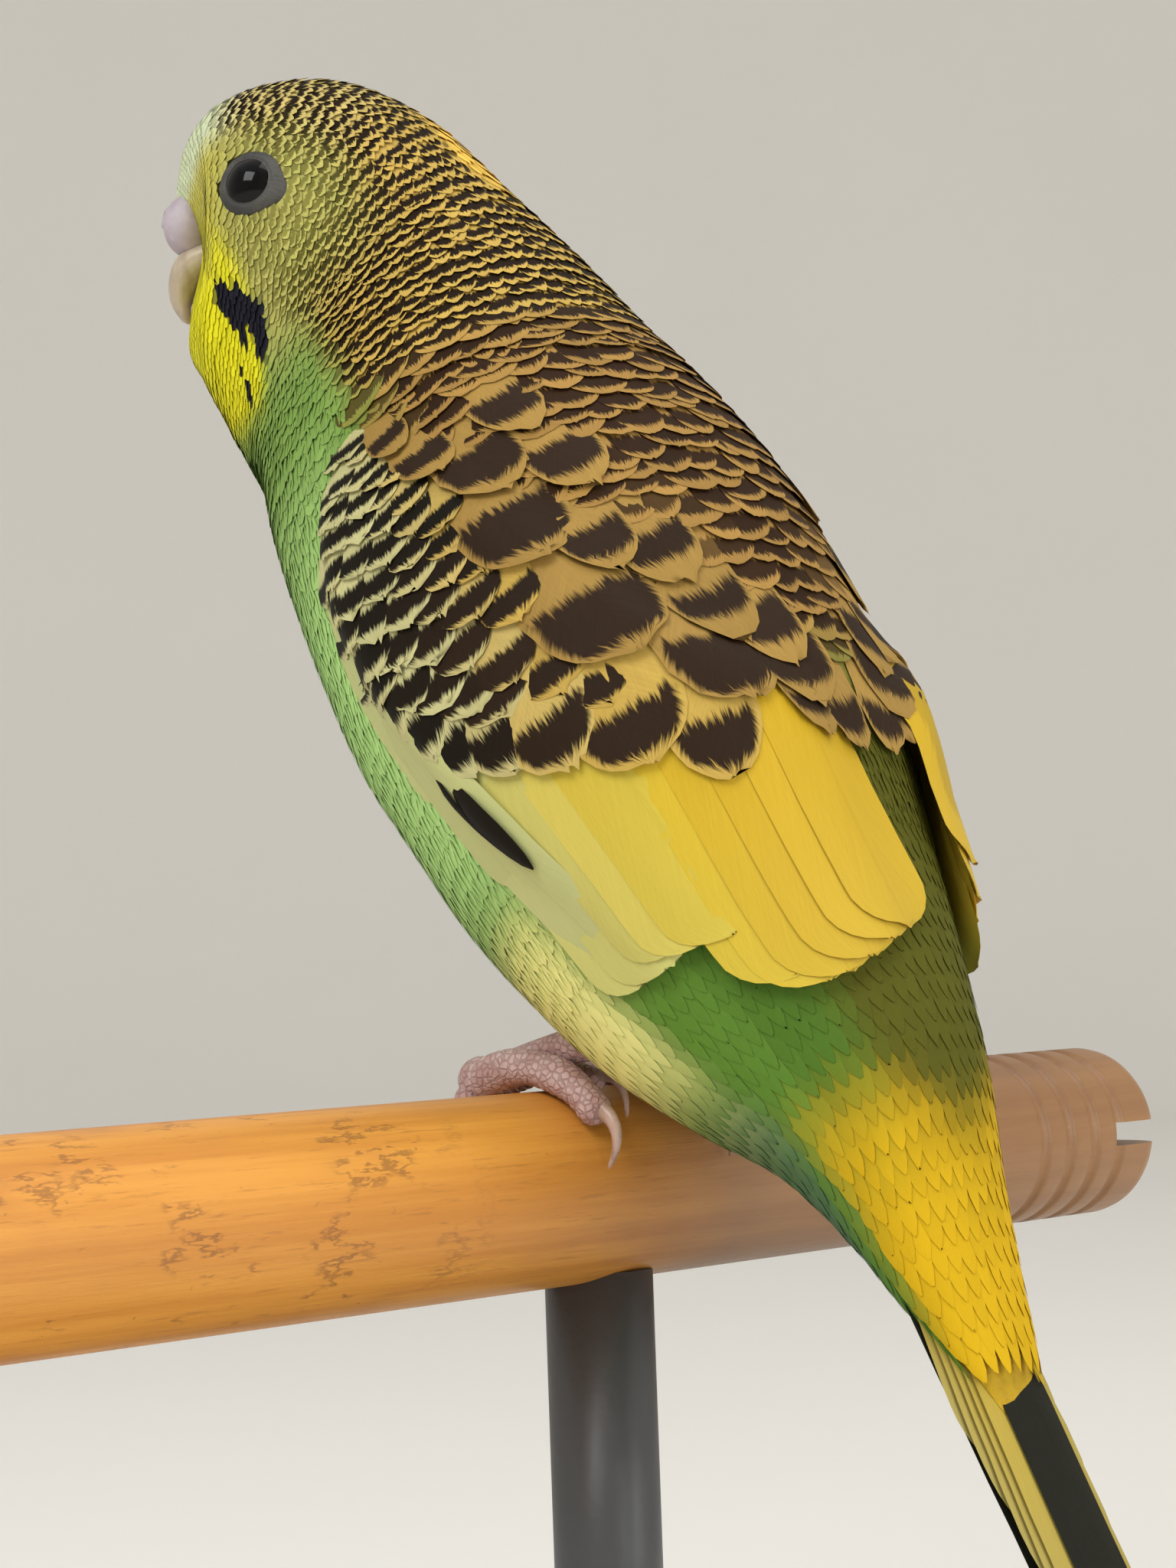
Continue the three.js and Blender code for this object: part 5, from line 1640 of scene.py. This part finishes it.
@dataclass
class Tail:
    """The tail feathers in pairs, and the long coverts over their base."""

    # each pair's reach, width and distance aside at the tip, the dark middle pair first
    pairs: tuple = ((59.5, 4.4, 1.02), (47, 5.0, 2.1), (38, 4.8, 2.8), (30, 4.6, 3.4), (23.5, 4.4, 4.0),
                    (18, 4.0, 4.6))
    # the outer dark pair: aside at the root, reach, aside at the tip, width, lift
    outer: tuple = (4.4, 48.0, 1.6, 4.6, -0.6)
    dark_shift: float = 0.67
    top: float = 1.3
    layer: float = 0.3
    overlap: float = 0.12
    root: float = -8.0
    coverts: int = 31
    covert_length: float = 19.0

    YELLOW = srgb(164, 152, 90)
    GOLD = srgb(192, 162, 46)
    OLIVE = srgb(134, 126, 66)
    DARK = srgb(32, 33, 26)

    def build(self) -> None:
        """Makes the tail feathers and their coverts."""
        sleek = Plumage("tail_feathers", barbs=80.0, fringe=0.03, shaft=0.12, roughness=0.45,
                        depth=0.00004, bow=0.0, contrast=0.14).build()
        soft = Plumage("tail_coverts", barbs=12.0, roughness=0.65, depth=0.00005, bow=0.1,
                       contrast=0.2).build()
        maker = Featherer(TailPlane(), SEED + 50)
        maker.build("tail_feathers", self.feathers(), VaneKind.TAIL, sleek, "tail_plumage")
        maker.build("tail_coverts", self.cover(), VaneKind.PLUME, soft, "tail_plumage")

    def feathers(self) -> Vanes:
        """The pairs of tail feathers, the dark longest pair on top."""
        rows = []
        for index, (tip, width, spread) in enumerate(self.pairs):
            for side in (1, -1):
                lift = self.top - self.layer * index - (self.overlap if side > 0 else 0.0)
                shift = self.dark_shift if index == 0 else 0.0
                at_root, at_tip = side * spread * 0.4 - shift, side * spread - shift
                rows.append((at_root, tip, at_tip, width, lift, index == 0))
        aside, tip, spread, width, lift = self.outer
        rows += [(side * aside, tip, side * spread, width, lift, True) for side in (1, -1)]
        aside, tip, spread, width, lift, strength = np.array(rows, float).T
        count, dark = len(rows), strength[:, None] > 0.5
        return Vanes(np.stack([np.full(count, self.root), aside], 1), np.stack([tip, spread], 1), width,
                     lift=(0.0, 0.0), camber=0.2, ragged=0.02, rise=0.05, rows_lift=lift,
                     ground=np.where(dark, self.OLIVE, self.GOLD),
                     ground_tip=np.where(dark, self.OLIVE, self.YELLOW),
                     mark=np.tile(self.DARK, (count, 1)), strength=strength,
                     band=np.tile([0.72, 0.52, 1.3], (count, 1)))

    def cover(self) -> Vanes:
        """The long soft coverts that run out over the tail's base."""
        random = np.random.default_rng(SEED + 51)
        aside = np.linspace(-4.4, 4.2, self.coverts)
        tip = 7.5 - 2.3 * np.clip(aside, -3, 1.5) + random.normal(0, 1.7, self.coverts)
        tips = np.stack([tip, aside * 0.9], 1)
        roots = np.stack([tip - self.covert_length, aside * 0.7], 1)
        ground = self.GOLD * random.uniform(0.9, 1.08, (self.coverts, 1))
        return Vanes.plain(roots, tips, np.full(self.coverts, 1.3), ground, lift=(0.4, 2.05), camber=0.08,
                           ragged=0.03, rows_lift=-0.09 * np.abs(aside) ** 1.4)


@dataclass(frozen=True)
class Toe:
    """How a toe lies on the perch: degrees where it and its claw end, and mm sideways and across."""

    label: str
    end: float
    claw: float
    start: float
    finish: float
    thick: float


@dataclass
class Feet:
    """Both feet with their toes and claws, and the scaly legs above them."""

    out: float = 6.2
    hub: float = 127.0
    hub_rise: float = 0.8
    hub_radius: float = 2.0
    clearance: float = 0.35
    perch: float = 8.0
    heel: tuple = (5.4, 7.5, 12.5)
    shin: float = 1.4
    toes: tuple = (Toe("1", 64, 40, -1.0, -3.0, 1.1), Toe("2", 186, 216, -0.7, -1.8, 1.15),
                   Toe("3", 206, 240, 0.6, 1.2, 1.2), Toe("4", 37, 11, 1.0, 1.1, 1.4))

    ACROSS = np.array([1.0, 0.0, 0.0])

    def on_perch(self, x: np.ndarray, angle: np.ndarray, radius: np.ndarray) -> np.ndarray:
        """A place round the perch, in mm in the part's frame."""
        turn = np.radians(angle)
        return np.stack([x + 0 * turn, radius * np.cos(turn), radius * np.sin(turn) + PERCH_HEIGHT], -1)

    def build(self) -> None:
        """Makes feet and claws on both sides."""
        skin = ScalySkin("foot_scales", (204, 176, 174), (180, 144, 140)).build()
        horn = Horn("claw_horn", (186, 154, 142), (150, 114, 102), 0.3).build()
        for side, label in SIDES:
            mesh = bmesh.new()
            for toe in self.toes:
                self.toe(side, toe).add_to(mesh)
            self.leg(side).add_to(mesh)
            hub = self.hub_place(side)
            ball = bmesh.ops.create_uvsphere(mesh, u_segments=32, v_segments=20, radius=self.hub_radius)
            pad = ball["verts"]
            bmesh.ops.translate(mesh, vec=Vector(hub), verts=pad)
            bmesh.ops.scale(mesh, vec=(MM, MM, MM), verts=pad)
            finish_piece(mesh, f"foot_skin_{label}", skin, [f"foot_{label}", f"leg_{label}"])
            for toe in self.toes:
                mesh = bmesh.new()
                self.claw(side, toe).add_to(mesh)
                node = f"claw_{label}_{toe.label}"
                finish_piece(mesh, f"claw_horn_{label}_{toe.label}", horn, [node])

    def hub_place(self, side: int) -> np.ndarray:
        """The middle of the foot, where its toes meet."""
        radius = self.perch + self.clearance + self.hub_rise + self.hub_radius
        return self.on_perch(np.array(side * self.out), np.array(self.hub), np.array(radius))

    def toe(self, side: int, toe: Toe) -> Limb:
        """A toe that bends round the perch, with scale ridges and pads at its joints."""
        t = np.linspace(0, 1, 9)
        pads = 1 + 0.1 * np.sin(t * math.pi * 5.5) ** 2
        girth = toe.thick * 1.1 + (toe.thick * 0.9 - toe.thick * 1.1) * t
        radius = self.perch + self.clearance + girth + self.hub_rise * (1 - t) ** 2
        x = side * (self.out + toe.start + (toe.finish - toe.start) * t)
        points = self.on_perch(x, self.hub + (toe.end - self.hub) * t, radius)
        return Limb(points, girth * pads, girth * pads, self.ACROSS, around=28, along=110,
                    ridges=0.09, ridge_count=15)

    def claw(self, side: int, toe: Toe) -> Limb:
        """A claw, arched down to its point."""
        t = np.linspace(0, 1, 6)
        turn = math.copysign(1, toe.claw - toe.end)
        girth = toe.thick * 0.62 + (0.16 - toe.thick * 0.62) * t
        radius = self.perch + self.clearance + toe.thick * (1 - t) + 0.22 + 1.2 * np.sin(math.pi * t)
        x = side * (self.out + toe.finish * (1 + 0.12 * t))
        angle = toe.end - turn * 6 + (toe.claw - toe.end + turn * 4) * t
        points = self.on_perch(x, angle, radius)
        return Limb(points, girth * 0.8, girth, self.ACROSS, around=18, along=36)

    def leg(self, side: int) -> Limb:
        """The short scaly leg from the foot to the feathers."""
        hub = self.hub_place(side)
        heel = np.array([side * self.heel[0], self.heel[1], self.heel[2] + PERCH_HEIGHT])
        middle = (hub + heel) / 2 + np.array([0, 0, 0.35])
        points = np.array([hub * 0.94 + heel * 0.06, middle, heel])
        wide = np.array([1.1, 0.9, 1.1]) * self.shin
        deep = np.array([1.1, 1.0, 1.2]) * self.shin
        return Limb(points, wide, deep, self.ACROSS, around=28, along=70, ridges=0.04, ridge_count=9)


@dataclass
class Perch:
    """The turned dowel with four shallow grooves and a slot at its right end."""

    radius: float = 8.0
    left: float = 74.0
    right: float = -73.0
    end_round: float = 3.5
    chamfer: float = 0.6
    end_slope: float = 1.3
    groove: float = 0.45
    groove_half: float = 0.9
    grooves: tuple = (8, 12, 16, 20)
    plain_from: float = 24.0
    slot_wide: float = 2.2
    slot_deep: float = 8.0

    def profile(self) -> list[tuple[float, float]]:
        """Radius and place along X of the dowel's outline."""
        r, right, left = self.radius, self.right, self.left
        inward = self.end_round * self.end_slope
        points = [(0.0, right), (r - inward, right)]
        for step in range(1, 7):
            turn = step / 6 * math.pi / 2
            x = right + self.end_round * (1 - math.cos(turn))
            points.append((r - inward * (1 - math.sin(turn)), x))
        for offset in self.grooves:
            for step in range(9):
                way = step / 4 - 1
                x = right + offset + self.groove_half * way
                points.append((r - self.groove * (1 - way * way), x))
        points += [(r, x) for x in np.linspace(right + self.plain_from, left - self.chamfer, 30)]
        return points + [(r - self.chamfer, left), (0.0, left)]

    def build(self) -> None:
        """Makes the dowel by spinning its outline, then cuts the slot."""
        mesh = turned([(x * MM, r * MM, 0) for r, x in self.profile()], (1, 0, 0), 128)
        bmesh.ops.translate(mesh, vec=(0, 0, PERCH_HEIGHT * MM), verts=mesh.verts)
        dowel = finish_piece(mesh, "perch_dowel", DowelWood().build(), ["perch"])
        self.cut_slot(dowel)
        edges_kept = dowel.modifiers.new("edges", "WEIGHTED_NORMAL")
        edges_kept.keep_sharp = True

    def cut_slot(self, dowel: bpy.types.Object) -> None:
        """Cuts the slot across the right end."""
        block = bmesh.new()
        bmesh.ops.create_cube(block, size=1.0)
        size = (self.slot_deep * 2 * MM, self.radius * 3 * MM, self.slot_wide * MM)
        bmesh.ops.scale(block, vec=size, verts=block.verts)
        bmesh.ops.translate(block, vec=(self.right * MM, 0, PERCH_HEIGHT * MM), verts=block.verts)
        data = bpy.data.meshes.new("slot_cutter")
        block.to_mesh(data)
        block.free()
        cutter = put("slot_cutter", data)
        cut = dowel.modifiers.new("slot", "BOOLEAN")
        cut.operation, cut.solver, cut.object = "DIFFERENCE", "EXACT", cutter
        shaped = bpy.data.meshes.new_from_object(dowel.evaluated_get(bpy.context.evaluated_depsgraph_get()))
        dowel.modifiers.clear()
        old, dowel.data = dowel.data, shaped
        bpy.data.meshes.remove(old)
        bpy.data.objects.remove(cutter)
        for face in dowel.data.polygons:
            face.use_smooth = abs(face.normal.x) < 0.9 and face.area < 4e-6


@dataclass
class Stand:
    """The round base and the rod that hold the perch."""

    base_radius: float = 58.0
    base_thickness: float = 8.0
    chamfer: float = 1.2
    rod_radius: float = 4.5
    gap: float = 0.3
    into_perch: float = 1.0

    def build(self) -> None:
        """Makes base and rod."""
        paint = SatinPaint().build()
        mesh = cylinder(self.base_radius, 0.0, self.base_thickness, 160)
        top = [e for e in mesh.edges if all(v.co.z > self.base_thickness * MM * 0.9 for v in e.verts)]
        bmesh.ops.bevel(mesh, geom=top, offset=self.chamfer * MM, segments=4, profile=0.5,
                        affect="EDGES", material=-1)
        self.flatten(finish_piece(mesh, "stand_base_disc", paint, ["stand_base"]))
        rod = cylinder(self.rod_radius, self.base_thickness + self.gap,
                       PERCH_HEIGHT - Perch.radius + self.into_perch, 72)
        self.flatten(finish_piece(rod, "stand_rod_bar", paint, ["stand_rod"]))

    @staticmethod
    def flatten(piece: bpy.types.Object) -> None:
        """Shades a turned piece's flat ends flat."""
        for face in piece.data.polygons:
            face.use_smooth = abs(face.normal.z) < 0.98


# The studio


@dataclass
class Studio:
    """The floor, the lights and the camera at the photograph's own place."""

    camera_at: tuple = (215.3, 199.4, 88.4)
    heading: float = 42.7
    pitch: float = 2.5
    roll: float = 2.0
    focal_pixels: float = 4600.0
    photo_pixels: float = 2048.0
    sensor: float = 36.0
    floor_reach: float = 1.3
    cove: float = 0.5
    wall: float = 2.4
    aim: tuple = (0, 0, 0.11)

    LAMPS = (
        # name, place and size in metres, power in watts
        ("key", (0.75, 0.1, 0.75), 0.5, 5.2),
        ("fill", (-0.1, 0.95, 0.25), 0.7, 4.2),
        ("top", (-0.2, 0.3, 1.0), 0.6, 2.6),
    )

    def build(self) -> None:
        """Makes the studio."""
        self.build_camera()
        self.build_backdrop()
        self.build_lights()

    def build_camera(self) -> None:
        """Makes the camera from its heading, pitch and roll."""
        a, p, r = (math.radians(v) for v in (self.heading, self.pitch, self.roll))
        level = Vector((-math.sin(a), math.cos(a), 0))
        ahead = Vector((-math.cos(a), -math.sin(a), 0))
        forward = ahead * math.cos(p) + Vector((0, 0, 1)) * math.sin(p)
        upright = Vector((0, 0, 1)) * math.cos(p) - ahead * math.sin(p)
        right = level * math.cos(r) - upright * math.sin(r)
        up = upright * math.cos(r) + level * math.sin(r)
        data = bpy.data.cameras.new("camera")
        data.sensor_width = self.sensor
        data.lens = self.focal_pixels / self.photo_pixels * self.sensor
        data.clip_start, data.clip_end = 0.01, 20.0
        camera = put("camera", data)
        turn = Matrix((right, up, -forward)).transposed().to_4x4()
        camera.matrix_world = Matrix.Translation(Vector(self.camera_at) * MM) @ turn
        bpy.context.scene.camera = camera

    def build_backdrop(self) -> None:
        """Makes a floor that curves up into a wall all round, far from the part."""
        floor, cove = self.floor_reach, self.cove
        outline = [(0, 0, 0), (floor, 0, 0)]
        outline += [(floor + cove * math.sin(t), 0, cove - cove * math.cos(t))
                    for t in np.linspace(0.1, math.pi / 2, 12)]
        outline.append((floor + cove, 0, self.wall))
        mesh = turned(outline, (0, 0, 1), 96)
        bmesh.ops.recalc_face_normals(mesh, faces=mesh.faces)
        bmesh.ops.reverse_faces(mesh, faces=mesh.faces)
        for face in mesh.faces:
            face.smooth = True
        data = bpy.data.meshes.new("studio_floor")
        mesh.to_mesh(data)
        mesh.free()
        data.materials.append(Backdrop().build())
        put("studio_floor", data)

    def build_lights(self) -> None:
        """Makes a soft key, a fill and a top light, and a pale world."""
        bpy.context.scene.view_settings.view_transform = "Standard"
        world = bpy.data.worlds.new("studio")
        bpy.context.scene.world = world
        world.use_nodes = True
        sky = world.node_tree.nodes["Background"]
        sky.inputs["Color"].default_value = (1.0, 0.985, 0.96, 1)
        sky.inputs["Strength"].default_value = 0.6
        for name, place, size, power in self.LAMPS:
            data = bpy.data.lights.new(name, "AREA")
            data.size, data.energy = size, power
            lamp = put(name, data)
            lamp.location = place
            lamp.rotation_euler = (Vector(self.aim) - Vector(place)).to_track_quat("-Z", "Y").to_euler()


def main() -> None:
    """Builds the scene in order."""
    logging.basicConfig(level=logging.INFO, format="%(name)s %(message)s")
    Studio().build()
    form, eyes, face = BodyForm(), Eyes(), Face()
    coat = Coat(form, Markings(), eyes, face)
    coat.build_skin()
    eyes.build(form)
    face.build()
    coat.build_feathers()
    for side, label in SIDES:
        Wing(form, side, label).build()
    Tail().build()
    Feet().build()
    Perch().build()
    Stand().build()


if __name__ == "__main__":
    main()
